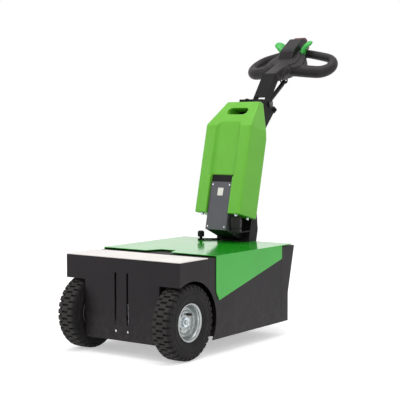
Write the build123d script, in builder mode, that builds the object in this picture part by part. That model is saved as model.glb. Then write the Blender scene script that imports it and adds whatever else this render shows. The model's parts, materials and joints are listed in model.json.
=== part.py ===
"""Walk-behind electric tug: low drive chassis, leaning column with battery, tilting tiller.

Millimetres. X points forward, out of the coupling face. Y points to the machine's left, Z up, and the
floor is at Z = 0. The origin is on the floor, in the middle of the whole machine's length and width.
"""
from build123d import *
import os
from math import atan2, cos, degrees, radians, sin

os.makedirs("parts", exist_ok=True)

# Chassis box
face_x = 577.8              # coupling face, in front of the middle of the whole length
body_width = 496.0
body_bottom = 54.0
body_top = 336.0
front_box_length = 160.0
side_length = 634.0         # from the coupling face to the bend in the sides
rear_bottom = 682.0         # from the coupling face to the rear panel's lower part
rear_kink_height = 160.0
rear_overhang = 44.0        # how far the rear panel's top stands out behind its lower part
plate = 4.0
thin_sheet = 3.0
touch_gap = 0.3             # between pieces that lie on each other and are screwed or moulded

# Coupling slots in the front plate
slot_spacing = 52.0
slot_width = 8.0
slot_low = 109.0
slot_high = 288.0
coupling_hole_radius = 4.5
coupling_hole_height = 86.0
bar_width = 44.0
bar_thickness = 12.0
bar_low = 98.0
bar_high = 182.0
bar_standoff = 6.0

# Drive wheels
wheel_radius = 130.0
wheel_setback = 71.0        # axle behind the coupling face
wheel_face = 245.0          # tyre's outer face from the middle
tyre_width = 76.0
tyre_bulge = 33.0           # widest place, inside the tread's surface
tyre_shoulder = 5.0
tread_edge = 11.0
tyre_wall = 10.0
tyre_bead = 8.0
arch_gap = 9.0
ear_bottom = 254.0
well_gap = 6.0
well_length = 250.0
well_roof = 285.0
rim_lip_radius = 66.0
rim_barrel_radius = 57.0
rim_half_width = 32.0
rim_wall = 3.0
shaft_radius = 12.0
running_gap = 0.05
shaft_hole_radius = 20.0
hub_radius = 38.0
hub_thickness = 8.0

# Hood
hood_front = 206.0
hood_rear = 702.0
hood_sheet = 2.5
hood_top = 343.0
hood_bay_side = 7.0
hood_bay_front = 8.0
flap_front_low = 219.0
flap_tip_back = 18.0
flap_tip_height = 188.0
flap_rear_low = 292.0
finger_notch_outer = 112.0
finger_notch_inner = 66.0
finger_notch_depth = 60.0

# Drive train and ballast
axle_tube_radius = 32.0
flange_radius = 56.0
flange_thickness = 8.0
gearbox_front = 62.0
gearbox_rear = 190.0
gearbox_width = 100.0
gearbox_low = 82.0
gearbox_high = 184.0
gearbox_corner = 16.0
bearing_depth = 10.0
shaft_start_gap = 4.0
nut_radius = 16.0
nut_length = 10.0
motor_radius = 55.0
motor_length = 180.0
ballast_front = 300.0
ballast_length = 175.0
ballast_width = 290.0
ballast_height = 118.0

# Rear castor
castor_back = 560.0         # swivel axis behind the coupling face
castor_trail = 45.0
castor_radius = 62.5
castor_width = 40.0
castor_height = 161.0
castor_plate_length = 120.0
castor_plate_width = 100.0
castor_plate_thickness = 6.0
castor_boss_height = 8.0
castor_boss_radius = 28.0
castor_race_radius = 20.0
castor_eye_radius = 13.0
castor_hub_radius = 14.0
castor_tread_depth = 14.0
castor_leg_rear = 26.0
castor_bolt_end = 4.0
kingpin_play = 0.5
fork_gap = 5.0
fork_wall = 5.0
fork_head_height = 142.0
kingpin_radius = 8.0
castor_axle_radius = 6.0
beam_length = 90.0
beam_height = 40.0

# Mast frame: its origin is the battery's lower front edge, its up axis leans back
lean = 13.4
mast_back = 564.7
mast_height = 457.5
battery_width = 208.0
battery_depth = 128.0
battery_shoulder = 340.0
battery_top = 455.0
battery_top_width = 148.0
battery_crest_depth = 45.0
battery_edge = 6.0
bay_width = 100.0
bay_height = 148.0
groove_depth = 12.0
grip_width = 90.0
grip_height = 30.0
grip_up = 408.0
cover_setback = 9.0
cover_width = 94.4
cover_low = -64.0
cover_high = 121.5
cover_sheet = 2.0
cover_side = 60.0
cover_corner = 8.0
box_width = 90.0
box_rear_low = -84.0
column_front = 140.0
column_width = 100.0
column_depth = 42.0
column_wall = 4.0
column_top = 438.0
foot_width = 150.0
foot_plate = 6.0
foot_web_top = 30.0
foot_depth = 48.0
foot_toe = 18.0
gusset_wall = 4.0
gusset_slope_back = 22.0
gusset_slope_height = 60.0
cap_low = 472.0
cap_thickness = 6.0
cap_depth = 26.0
cheek_thickness = 5.0
cheek_low = 372.0

# Tiller, in plain distances behind the coupling face and heights
pivot_back = 856.0
pivot_height = 871.0
pivot_pin_radius = 8.0
pivot_lug_radius = 25.0
spring_foot_back = 888.0
spring_foot_height = 850.0
spring_head_back = 1052.0
spring_head_height = 966.0
spring_pin_radius = 5.0
spring_foot_pin = 3.0
open_eye_bore = 5.8          # the rod's eye has room to drift round its pin
arm_elevation = 54.3
arm_width = 60.0
arm_front = 7.0             # front face in front of the pivot
arm_depth = 34.0
arm_wall = 5.0
arm_length = 150.0
arm_web_start = 32.0
arm_waist = 36.0            # the sides are narrow up to here, clear of the spring's lower pin
arm_full_depth = 62.0
arm_head_slope = 14.0
arm_end_wall = 22.0
arm_spacer_radius = 13.0
arm_boss_radius = 18.0
neck_points = ((1015.0, 1032.0), (1075.0, 1060.0), (1110.0, 1010.0), (1080.0, 985.0))  # back, height
ring_back = 1109.5
ring_height = 1045.5
ring_tilt = 35.0
ring_droop = 11.0           # degrees that each half of the ring leans down towards its end
ring_lap = 6.0              # how far each half runs past the middle before it is mitred there
ring_rise = 15.0            # middle of the ring above the hub's middle plane
ring_half_width = 186.0
ring_half_length = 64.0
ring_end_radius = 55.0
ring_tube_radius = 22.5
hub_front_width = 156.0
hub_waist_width = 146.0
hub_rear_width = 76.0
hub_rear = 96.0
hub_lead = 14.0             # hub in front of the ring's middle line
hub_waist = -6.0
hub_shoulder = 42.0
hub_lift = 7.0
hub_half_height = 24.0
pod_width = 66.0
pod_front = -66.0
pod_low = 10.0
pod_rear = 114.0
pod_top = 63.0
pod_brow = -6.0             # where the pod's top begins
pod_slope = 22.0            # length of the slope at the pod's rear
pod_edge = 24.0
belly_length = 16.0
belly_width = 54.0
belly_low = -6.0
belly_high = 50.0
belly_edge = 8.0
lever_reach = 88.0          # tip of a wing from the middle
lever_height = 64.0
lever_low = -2.0
lever_thickness = 9.0
lever_root_front = 14.0
lever_root_rear = 38.0
lever_wing_front = 30.0
lever_wing_rear = 78.0
lever_bend = 30.0
lever_shoulder = 54.0
lever_brow = 72.0

# Gas spring
spring_body_radius = 9.0
spring_body_length = 112.0
spring_rod_radius = 4.0
spring_rod_inside = 60.0
eye_radius = 8.0
open_eye_radius = 9.0
spring_lug_radius = 14.0
pin_end = 5.0
neck_radius = 4.0
head_lug = 11.0             # half the length and round end of the spring's upper lug
head_lug_wall = 6.0
head_lug_rise = 34.0
head_lug_back = 14.0
spring_neck = 5.0
spring_end = 8.0            # thickness of the cylinder's closed end
eye_width = 12.0

# Small fittings at the column's foot
horn_back = 592.0
horn_side = 71.0
horn_radius = 22.0
horn_low = 385.0
horn_height = 60.0
horn_bracket = 5.0
horn_bracket_inner = 10.0
horn_bracket_outer = 5.0
horn_edge = 3.0
knob_back = 615.0
knob_side = -107.0
knob_radius = 13.0
knob_low = 357.0
knob_height = 23.0
knob_arm = 5.0
knob_arm_half = 9.0
knob_stem_radius = 6.0
knob_foot_radius = 5.0
knob_foot_height = 2.0
knob_edge = 7.0

# Values worked out from the sizes above
half_body = body_width / 2
axle_x = face_x - wheel_setback
tyre_middle = wheel_face - tyre_width / 2
well_wall = wheel_face - tyre_width - well_gap
rear_top = rear_bottom + rear_overhang
lean_cos = cos(radians(lean))
lean_sin = sin(radians(lean))
arch_radius = wheel_radius + arch_gap
deck_level = body_top
foot_level = deck_level + foot_plate


def behind(distance):
    """X of a place that lies a distance behind the coupling face."""
    return face_x - distance


def across(y):
    """Plane of a side sheet at Y = y: its own x is X and its own y is Z."""
    return Plane(origin=(0, y, 0), x_dir=(1, 0, 0), z_dir=(0, -1, 0))


def save(piece, name):
    """Label a finished piece and write its file."""
    piece.part.label = name
    export_step(piece.part, "parts/" + name + ".step")


middle = across(0)
mast_origin = (behind(mast_back), 0, mast_height)
mast_front = Plane(origin=mast_origin, x_dir=(0, 1, 0), z_dir=(lean_cos, 0, lean_sin))
mast_side = Plane(origin=mast_origin, x_dir=(-lean_cos, 0, -lean_sin), z_dir=(0, 1, 0))


def on_mast(back, up):
    """X and Z of a point given in the mast's own depth and height."""
    x = behind(mast_back) - back * lean_cos - up * lean_sin
    z = mast_height - back * lean_sin + up * lean_cos
    return x, z


def mast_up_at(back, z):
    """Height along the mast of the point at a depth where the mast crosses level z."""
    return (z - mast_height + back * lean_sin) / lean_cos


# Front plate with the ears over the wheels, two coupling slots and two holes
with BuildPart() as front_plate:
    with BuildSketch(Plane(origin=(face_x, 0, 0), x_dir=(0, 1, 0), z_dir=(1, 0, 0))):
        with BuildLine():
            Polyline(
                (-well_wall, body_bottom), (well_wall, body_bottom), (well_wall, ear_bottom),
                (half_body, ear_bottom), (half_body, body_top), (-half_body, body_top),
                (-half_body, ear_bottom), (-well_wall, ear_bottom), close=True,
            )
        make_face()
        with Locations((-slot_spacing / 2, (slot_low + slot_high) / 2),
                       (slot_spacing / 2, (slot_low + slot_high) / 2)):
            SlotOverall(slot_high - slot_low, slot_width, rotation=90, mode=Mode.SUBTRACT)
        with Locations((-slot_spacing / 2, coupling_hole_height),
                       (slot_spacing / 2, coupling_hole_height)):
            Circle(coupling_hole_radius, mode=Mode.SUBTRACT)
    extrude(amount=-plate)
save(front_plate, "front_plate")

# Bar behind the slots, standing off the front plate on a narrow spine
with BuildPart() as coupling_bar:
    with BuildSketch(Plane(origin=(behind(plate + bar_standoff), 0, 0), x_dir=(0, 1, 0), z_dir=(-1, 0, 0))):
        with Locations((0, -(bar_low + bar_high) / 2)):
            Rectangle(bar_width, bar_high - bar_low)
    extrude(amount=bar_thickness)
    with BuildSketch(Plane(origin=(behind(plate), 0, 0), x_dir=(0, 1, 0), z_dir=(-1, 0, 0))):
        with Locations((0, -(bar_low + bar_high) / 2)):
            Rectangle(bar_width / 2, bar_high - bar_low)
    extrude(amount=bar_standoff)
save(coupling_bar, "coupling_bar")

# Light plate on the front box
with BuildPart() as front_top_plate:
    with BuildSketch(Plane.XY.offset(body_top)):
        with Locations((behind(front_box_length / 2), 0)):
            Rectangle(front_box_length, body_width)
    extrude(amount=thin_sheet)
    fillet(front_top_plate.edges().filter_by(Axis.Z), 2)
save(front_top_plate, "front_top_plate")

# Ear sides, side sheets and wheel wells, left and right
sides = (("left", 1), ("right", -1))
for side_name, side in sides:
    with BuildPart() as ear_side:
        with BuildSketch(across(side * half_body)):
            with BuildLine():
                Polyline(
                    (behind(plate), ear_bottom), (behind(plate), body_top),
                    (behind(front_box_length), body_top), (behind(front_box_length), wheel_radius),
                    (axle_x, wheel_radius), (axle_x, ear_bottom), close=True,
                )
            make_face()
            with Locations((axle_x, wheel_radius)):
                Circle(arch_radius, mode=Mode.SUBTRACT)
        extrude(amount=side * plate)
    save(ear_side, "ear_side_" + side_name)

    with BuildPart() as side_sheet:
        with BuildSketch(across(side * half_body)):
            with BuildLine():
                Polyline(
                    (behind(front_box_length), body_bottom), (behind(front_box_length), body_top),
                    (behind(side_length), body_top), (behind(side_length), body_bottom), close=True,
                )
            make_face()
            with Locations((axle_x, wheel_radius)):
                Circle(arch_radius, mode=Mode.SUBTRACT)
        extrude(amount=side * plate)
    save(side_sheet, "side_sheet_" + side_name)

    with BuildPart() as wheel_well:
        with BuildSketch(across(side * well_wall)):
            with BuildLine():
                Polyline(
                    (behind(plate), body_bottom), (behind(plate), body_top - thin_sheet),
                    (behind(well_length), body_top - thin_sheet), (behind(well_length), body_bottom),
                    close=True,
                )
            make_face()
            with Locations((axle_x, wheel_radius)):
                Circle(shaft_hole_radius, mode=Mode.SUBTRACT)
        extrude(amount=side * thin_sheet)
        with BuildSketch(across(side * well_wall)):
            with BuildLine():
                Polyline(
                    (behind(plate), well_roof), (behind(plate), well_roof + thin_sheet),
                    (behind(well_length), well_roof + thin_sheet), (behind(well_length), body_bottom),
                    (behind(well_length - thin_sheet), body_bottom),
                    (behind(well_length - thin_sheet), well_roof), close=True,
                )
            make_face()
        extrude(amount=-side * (half_body - plate - well_wall))
    save(wheel_well, "wheel_well_" + side_name)

# Rear shell: the panel stands out towards its top, and its wings meet the side sheets
shell_slope = rear_overhang / (body_top - rear_kink_height)
with BuildPart() as rear_shell:
    with BuildSketch(middle):
        with BuildLine():
            Polyline(
                (behind(side_length), body_bottom), (behind(rear_bottom), body_bottom),
                (behind(rear_bottom), rear_kink_height), (behind(rear_top), body_top),
                (behind(side_length), body_top), close=True,
            )
        make_face()
    extrude(amount=half_body, both=True)
    with BuildSketch(middle):
        with BuildLine():
            inner_top = body_top + thin_sheet
            Polyline(
                (behind(side_length - plate), body_bottom - thin_sheet),
                (behind(rear_bottom - thin_sheet), body_bottom - thin_sheet),
                (behind(rear_bottom - thin_sheet), rear_kink_height),
                (behind(rear_top + thin_sheet * shell_slope - thin_sheet), inner_top),
                (behind(side_length - plate), inner_top), close=True,
            )
        make_face()
    extrude(amount=half_body - thin_sheet, both=True, mode=Mode.SUBTRACT)
save(rear_shell, "rear_shell")

# Deck under the hood
with BuildPart() as deck_plate:
    with BuildSketch(Plane.XY.offset(body_top - thin_sheet)):
        with BuildLine():
            deck_rear = rear_top - thin_sheet - 2 * thin_sheet * shell_slope
            Polyline(
                (behind(front_box_length), half_body - plate), (behind(deck_rear), half_body - plate),
                (behind(deck_rear), plate - half_body), (behind(front_box_length), plate - half_body),
                close=True,
            )
        make_face()
    extrude(amount=thin_sheet)
save(deck_plate, "deck_plate")

# Hood: one folded sheet with a finger notch in front, a bay for the column behind and a flap each side
hood_half = half_body + touch_gap + hood_sheet
foot_front_x = on_mast(column_front - foot_plate, mast_up_at(column_front - foot_plate, deck_level))[0]
bay_half = foot_width / 2 + hood_bay_side
with BuildPart() as hood:
    with BuildSketch(Plane.XY.offset(hood_top)):
        with BuildLine():
            Polyline(
                (behind(hood_front), hood_half),
                (behind(hood_front), finger_notch_outer / 2),
                (behind(hood_front + finger_notch_depth), finger_notch_inner / 2),
                (behind(hood_front + finger_notch_depth), -finger_notch_inner / 2),
                (behind(hood_front), -finger_notch_outer / 2),
                (behind(hood_front), -hood_half),
                (behind(hood_rear), -hood_half),
                (behind(hood_rear), -bay_half),
                (foot_front_x + foot_toe + hood_bay_front, -bay_half),
                (foot_front_x + foot_toe + hood_bay_front, bay_half),
                (behind(hood_rear), bay_half),
                (behind(hood_rear), hood_half), close=True,
            )
        make_face()
    extrude(amount=-hood_sheet)
    for side_name, side in sides:
        with BuildSketch(across(side * hood_half)):
            with BuildLine():
                Polyline(
                    (behind(hood_front), hood_top), (behind(hood_front), flap_front_low),
                    (behind(hood_front + flap_tip_back), flap_tip_height),
                    (behind(side_length), flap_rear_low), (behind(side_length), hood_top), close=True,
                )
            make_face()
        extrude(amount=side * hood_sheet)
save(hood, "hood")

# Transaxle: an axle tube with end flanges, and a gearbox behind its middle
flange_face = well_wall - thin_sheet
with BuildPart() as transaxle:
    with BuildSketch(across(0)):
        with Locations((axle_x, wheel_radius)):
            Circle(axle_tube_radius)
    extrude(amount=flange_face, both=True)
    for side_name, side in sides:
        with BuildSketch(across(side * flange_face)):
            with Locations((axle_x, wheel_radius)):
                Circle(flange_radius)
        extrude(amount=side * flange_thickness)
    with BuildSketch(across(0)):
        with Locations((behind((gearbox_front + gearbox_rear) / 2), (gearbox_low + gearbox_high) / 2)):
            RectangleRounded(gearbox_rear - gearbox_front, gearbox_high - gearbox_low, gearbox_corner)
    extrude(amount=gearbox_width / 2, both=True)
    for side_name, side in sides:
        with BuildSketch(across(side * flange_face)):
            with Locations((axle_x, wheel_radius)):
                Circle(shaft_radius + running_gap)
        extrude(amount=side * (flange_face - gearbox_width / 2 - bearing_depth), mode=Mode.SUBTRACT)
save(transaxle, "transaxle")

# Drive motor, lying behind the gearbox
with BuildPart() as drive_motor:
    with BuildSketch(Plane(origin=(behind(gearbox_rear), 0, wheel_radius + 3), x_dir=(0, 1, 0), z_dir=(-1, 0, 0))):
        Circle(motor_radius)
    extrude(amount=motor_length)
    chamfer(drive_motor.edges().group_by(Axis.X)[0], 6)
save(drive_motor, "drive_motor")

# Ballast: one plain block hung under the deck
with BuildPart() as ballast_block:
    with BuildSketch(Plane.XY.offset(body_top - thin_sheet)):
        with Locations((behind(ballast_front + ballast_length / 2), 0)):
            Rectangle(ballast_length, ballast_width)
    extrude(amount=-ballast_height)
save(ballast_block, "ballast_block")

# Castor beam: a square tube from side to side
with BuildPart() as castor_beam:
    with BuildSketch(across(0)):
        with Locations((behind(castor_back), castor_height + beam_height / 2)):
            Rectangle(beam_length, beam_height)
            Rectangle(beam_length - 2 * plate, beam_height - 2 * plate, mode=Mode.SUBTRACT)
    extrude(amount=half_body - plate, both=True)
save(castor_beam, "castor_beam")

# Castor plate with its swivel boss
castor_x = behind(castor_back)
with BuildPart() as castor_plate:
    with BuildSketch(Plane.XY.offset(castor_height)):
        with Locations((castor_x, 0)):
            RectangleRounded(castor_plate_length, castor_plate_width, 8)
    extrude(amount=-castor_plate_thickness)
    with BuildSketch(Plane.XY.offset(castor_height - castor_plate_thickness)):
        with Locations((castor_x, 0)):
            Circle(castor_boss_radius)
    extrude(amount=-castor_boss_height)
    with BuildSketch(Plane.XY.offset(castor_height)):
        with Locations((castor_x, 0)):
            Circle(kingpin_radius + running_gap)
    extrude(amount=-castor_plate_thickness - castor_boss_height, mode=Mode.SUBTRACT)
save(castor_plate, "castor_plate")

# Castor fork: head, kingpin, two legs and the axle bolt
castor_axle_x = castor_x - castor_trail
leg_inner = castor_width / 2 + fork_gap
with BuildPart() as castor_fork:
    with BuildSketch(Plane.XY.offset(fork_head_height)):
        with Locations((castor_x, 0)):
            Circle(leg_inner + fork_wall)
    extrude(amount=-fork_wall)
    with BuildSketch(Plane.XY.offset(fork_head_height)):
        with Locations((castor_x, 0)):
            Circle(castor_race_radius)
    extrude(amount=castor_height - castor_plate_thickness - castor_boss_height - fork_head_height - touch_gap)
    with BuildSketch(Plane.XY.offset(fork_head_height)):
        with Locations((castor_x, 0)):
            Circle(kingpin_radius)
    extrude(amount=castor_height - kingpin_play - fork_head_height)
    for side_name, side in sides:
        with BuildSketch(across(side * (leg_inner + fork_wall))):
            with BuildLine():
                Polyline(
                    (castor_x + castor_race_radius, fork_head_height),
                    (castor_x - castor_leg_rear, fork_head_height),
                    (castor_axle_x - castor_eye_radius, castor_radius),
                    (castor_axle_x + castor_eye_radius, castor_radius), close=True,
                )
            make_face()
            with Locations((castor_axle_x, castor_radius)):
                Circle(castor_eye_radius)
        extrude(amount=side * fork_wall)
    with BuildSketch(across(0)):
        with Locations((castor_axle_x, castor_radius)):
            Circle(castor_axle_radius)
    extrude(amount=leg_inner + fork_wall + castor_bolt_end, both=True)
save(castor_fork, "castor_fork")

# Castor wheel: a tyre on a core
core_radius = castor_radius - castor_tread_depth
with BuildPart() as castor_tyre:
    with BuildSketch(across(0)):
        with Locations((castor_axle_x, castor_radius)):
            Circle(castor_radius)
            Circle(core_radius, mode=Mode.SUBTRACT)
    extrude(amount=castor_width / 2, both=True)
    fillet(castor_tyre.edges().filter_by(GeomType.CIRCLE).sort_by(SortBy.RADIUS)[-2:], 6)
save(castor_tyre, "castor_tyre")

with BuildPart() as castor_core:
    with BuildSketch(across(0)):
        with Locations((castor_axle_x, castor_radius)):
            Circle(core_radius)
    extrude(amount=castor_width / 2 - 3, both=True)
    with BuildSketch(across(0)):
        with Locations((castor_axle_x, castor_radius)):
            Circle(castor_hub_radius)
    extrude(amount=leg_inner - touch_gap, both=True)
    with BuildSketch(across(0)):
        with Locations((castor_axle_x, castor_radius)):
            Circle(castor_axle_radius + running_gap)
    extrude(amount=leg_inner, both=True, mode=Mode.SUBTRACT)
save(castor_core, "castor_core")

# Drive wheels: tyre, rim and axle with hub, each revolved about the axle
bead = rim_barrel_radius + touch_gap
bead_half = rim_half_width - rim_wall - touch_gap
half_tyre = tyre_width / 2
for side_name, side in sides:
    wheel_plane = Plane(origin=(axle_x, side * tyre_middle, wheel_radius), x_dir=(0, 0, 1), z_dir=(-side, 0, 0))
    wheel_axis = Axis((axle_x, side * tyre_middle, wheel_radius), (0, 1, 0))

    with BuildPart() as tyre:
        with BuildSketch(wheel_plane):
            for wall_side in (1, -1):
                outer = wall_side * half_tyre
                seat = wall_side * bead_half
                with BuildLine():
                    Line((bead, 0), (bead, seat))
                    Line((bead, seat), (rim_lip_radius, seat))
                    ThreePointArc((rim_lip_radius, seat), (wheel_radius - tyre_bulge, outer),
                                  (wheel_radius - tyre_shoulder, outer - wall_side * tyre_shoulder))
                    Line((wheel_radius - tyre_shoulder, outer - wall_side * tyre_shoulder),
                         (wheel_radius, outer - wall_side * tread_edge))
                    Line((wheel_radius, outer - wall_side * tread_edge), (wheel_radius, 0))
                    Line((wheel_radius, 0), (bead, 0))
                make_face()
                hollow = wall_side * (half_tyre - tyre_bead)
                with BuildLine():
                    Line((bead, 0), (bead, seat - wall_side * tyre_bead))
                    ThreePointArc((bead, seat - wall_side * tyre_bead), (wheel_radius - tyre_bulge, hollow),
                                  (wheel_radius - tyre_wall, hollow - wall_side * tyre_bead))
                    Line((wheel_radius - tyre_wall, hollow - wall_side * tyre_bead), (wheel_radius - tyre_wall, 0))
                    Line((wheel_radius - tyre_wall, 0), (bead, 0))
                make_face(mode=Mode.SUBTRACT)
        revolve(axis=wheel_axis)
    save(tyre, "tyre_" + side_name)

    disc_place = 2.0
    with BuildPart() as rim:
        with BuildSketch(wheel_plane):
            with BuildLine():
                inner = rim_barrel_radius - rim_wall
                Polyline(
                    (rim_lip_radius, -rim_half_width), (rim_lip_radius, rim_wall - rim_half_width),
                    (rim_barrel_radius, rim_wall - rim_half_width), (rim_barrel_radius, rim_half_width - rim_wall),
                    (rim_lip_radius, rim_half_width - rim_wall), (rim_lip_radius, rim_half_width),
                    (inner, rim_half_width), (inner, disc_place + rim_wall),
                    (hub_radius, disc_place + rim_wall), (shaft_radius + touch_gap, disc_place + rim_wall),
                    (shaft_radius + touch_gap, disc_place), (inner, disc_place), (inner, -rim_half_width),
                    close=True,
                )
            make_face()
        revolve(axis=wheel_axis)
    save(rim, "rim_" + side_name)

    with BuildPart() as axle:
        with BuildSketch(wheel_plane):
            with BuildLine():
                shaft_start = gearbox_width / 2 + bearing_depth + shaft_start_gap - tyre_middle
                Polyline(
                    (0, shaft_start), (shaft_radius, shaft_start), (shaft_radius, disc_place - hub_thickness),
                    (hub_radius, disc_place - hub_thickness), (hub_radius, disc_place),
                    (shaft_radius, disc_place), (shaft_radius, disc_place + rim_wall),
                    (nut_radius, disc_place + rim_wall), (nut_radius, disc_place + rim_wall + nut_length),
                    (0, disc_place + rim_wall + nut_length), close=True,
                )
            make_face()
        revolve(axis=wheel_axis)
    save(axle, "axle_" + side_name)

# Column: a closed rectangular tube standing on its foot, with a closed top
column_inside = column_depth - 2 * column_wall
low_front = mast_up_at(column_front, foot_level)
low_rear = mast_up_at(column_front + column_depth, foot_level)
with BuildPart() as column:
    with BuildSketch(mast_side):
        with BuildLine():
            Polyline(
                (column_front, low_front), (column_front, column_top),
                (column_front + column_depth, column_top), (column_front + column_depth, low_rear), close=True,
            )
        make_face()
    extrude(amount=column_width / 2, both=True)
    with BuildSketch(mast_side):
        with BuildLine():
            Polyline(
                (column_front + column_wall, low_front - 30), (column_front + column_wall, column_top - column_wall),
                (column_front + column_wall + column_inside, column_top - column_wall),
                (column_front + column_wall + column_inside, low_front - 30), close=True,
            )
        make_face()
    extrude(amount=column_width / 2 - column_wall, both=True, mode=Mode.SUBTRACT)
save(column, "column")

# Column foot: a base plate on the deck, a web in front of the column and a gusset at each side
web_back = column_front - foot_plate
base_front_x = on_mast(web_back, mast_up_at(web_back, deck_level))[0]
base_rear_x = on_mast(column_front + foot_depth, mast_up_at(column_front + foot_depth, deck_level))[0]
horn_x = behind(horn_back)
with BuildPart() as column_foot:
    with BuildSketch(Plane.XY.offset(deck_level)):
        with BuildLine():
            Polyline(
                (base_front_x + foot_toe, foot_width / 2), (base_rear_x, foot_width / 2),
                (base_rear_x, -foot_width / 2), (base_front_x + foot_toe, -foot_width / 2), close=True,
            )
        make_face()
    extrude(amount=foot_plate)
    with BuildSketch(mast_side):
        with BuildLine():
            Polyline(
                (web_back, mast_up_at(web_back, deck_level)), (web_back, foot_web_top),
                (column_front, foot_web_top), (column_front, mast_up_at(column_front, deck_level)), close=True,
            )
        make_face()
    extrude(amount=foot_width / 2, both=True)
    for side_name, side in sides:
        with BuildSketch(mast_side.offset(side * foot_width / 2)):
            with BuildLine():
                rear = column_front + foot_depth
                Polyline(
                    (column_front, mast_up_at(column_front, deck_level)), (column_front, foot_web_top),
                    (rear - gusset_slope_back, foot_web_top), (rear, foot_web_top - gusset_slope_height),
                    (rear, mast_up_at(rear, deck_level)), close=True,
                )
            make_face()
        extrude(amount=-side * gusset_wall)
    with BuildSketch(Plane.XY.offset(horn_low - horn_bracket)):
        with BuildLine():
            bracket_rear_x = on_mast(web_back + 1, mast_up_at(web_back + 1, horn_low))[0]
            Polyline(
                (horn_x + horn_radius, horn_side - horn_bracket_inner),
                (horn_x + horn_radius, horn_side + horn_bracket_outer),
                (bracket_rear_x, horn_side + horn_bracket_outer),
                (bracket_rear_x, horn_side - horn_bracket_inner), close=True,
            )
        make_face()
    extrude(amount=horn_bracket)
save(column_foot, "column_foot")

# Cap plate between the two cheeks
cap_width = column_width
with BuildPart() as column_cap:
    with BuildSketch(mast_side):
        with Locations((web_back + cap_depth / 2, cap_low + cap_thickness / 2)):
            Rectangle(cap_depth, cap_thickness)
    extrude(amount=cap_width / 2, both=True)
save(column_cap, "column_cap")


def mast_place(distance, height):
    """Depth and height in the mast's frame of a place behind the coupling face."""
    x = behind(distance) - behind(mast_back)
    z = height - mast_height
    return -x * lean_cos - z * lean_sin, -x * lean_sin + z * lean_cos


pivot = mast_place(pivot_back, pivot_height)
spring_foot = mast_place(spring_foot_back, spring_foot_height)

# Pivot bracket: two cheeks on the column's sides, the tiller's pin and the spring's lower pin
with BuildPart() as pivot_bracket:
    for side_name, side in sides:
        with BuildSketch(mast_side.offset(side * column_width / 2)):
            with BuildLine():
                Polyline(
                    (web_back, cheek_low), (web_back, cap_low + cap_thickness),
                    (web_back + cap_depth, cap_low + cap_thickness), (pivot[0], pivot[1] + 10),
                    (spring_foot[0] + 6, spring_foot[1] - 4), (column_front + column_depth, cheek_low), close=True,
                )
            make_face()
            with Locations(pivot):
                Circle(pivot_lug_radius)
            with Locations(spring_foot):
                Circle(spring_lug_radius)
        extrude(amount=side * cheek_thickness)
    with BuildSketch(mast_side):
        with Locations(pivot):
            Circle(pivot_pin_radius)
        with Locations(spring_foot):
            Circle(spring_foot_pin)
    extrude(amount=column_width / 2 + cheek_thickness + pin_end, both=True)
save(pivot_bracket, "pivot_bracket")

# Controller box behind its cover
box_front = cover_setback + cover_sheet
with BuildPart() as controller_box:
    with BuildSketch(mast_side):
        with BuildLine():
            Polyline(
                (box_front, cover_low), (box_front, bay_height - touch_gap),
                (web_back, bay_height - touch_gap), (web_back, box_rear_low), close=True,
            )
        make_face()
    extrude(amount=box_width / 2, both=True)
save(controller_box, "controller_box")

with BuildPart() as controller_cover:
    with BuildSketch(mast_front.offset(-cover_setback)):
        with Locations((0, (cover_low + cover_high) / 2)):
            Rectangle(cover_width, cover_high - cover_low)
    extrude(amount=-cover_sheet)
    for side_name, side in sides:
        with BuildSketch(mast_side.offset(side * cover_width / 2)):
            with BuildLine():
                Polyline(
                    (cover_setback, cover_low), (cover_setback, cover_high),
                    (cover_setback + cover_side, cover_high), (cover_setback + cover_side, cover_low - cover_corner),
                    (cover_setback + cover_corner, cover_low), close=True,
                )
            make_face()
        extrude(amount=-side * cover_sheet)
save(controller_cover, "controller_cover")

# Battery pack: it straddles the controller box, with a groove above the bay and a grip hole
crest_front = battery_depth - battery_crest_depth
with BuildPart() as battery_pack:
    with BuildSketch(mast_front):
        with BuildLine():
            Polyline(
                (-battery_width / 2, 0), (-battery_width / 2, battery_shoulder),
                (-battery_top_width / 2, battery_top), (battery_top_width / 2, battery_top),
                (battery_width / 2, battery_shoulder), (battery_width / 2, 0),
                (bay_width / 2, 0), (bay_width / 2, bay_height),
                (-bay_width / 2, bay_height), (-bay_width / 2, 0), close=True,
            )
        make_face()
    extrude(amount=-battery_depth)
    with BuildSketch(mast_side):
        with BuildLine():
            Polyline((-1, battery_shoulder), (crest_front, battery_top + 1), (-1, battery_top + 1), close=True)
        make_face()
    extrude(amount=battery_width, both=True, mode=Mode.SUBTRACT)
    with BuildSketch(mast_front):
        with Locations((0, (bay_height + battery_shoulder) / 2)):
            Rectangle(bay_width, battery_shoulder - bay_height)
    extrude(amount=-groove_depth, mode=Mode.SUBTRACT)
    front_edges = battery_pack.edges().filter_by(Axis((0, 0, 0), (-lean_sin, 0, lean_cos)))
    outer_edges = front_edges.filter_by(lambda edge: abs(abs(edge.center().Y) - battery_width / 2) < 0.01)
    chamfer(outer_edges.sort_by(Axis.X)[-2:], battery_edge)
    with BuildSketch(mast_front):
        with Locations((0, grip_up)):
            SlotOverall(grip_width, grip_height)
    extrude(amount=-battery_depth, mode=Mode.SUBTRACT)
save(battery_pack, "battery_pack")

# Signal horn on the foot's bracket
with BuildPart() as signal_horn:
    with BuildSketch(Plane.XY.offset(horn_low)):
        with Locations((horn_x, horn_side)):
            Circle(horn_radius)
    extrude(amount=horn_height)
    fillet(signal_horn.edges().group_by(Axis.Z)[-1], horn_edge)
save(signal_horn, "signal_horn")

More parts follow.
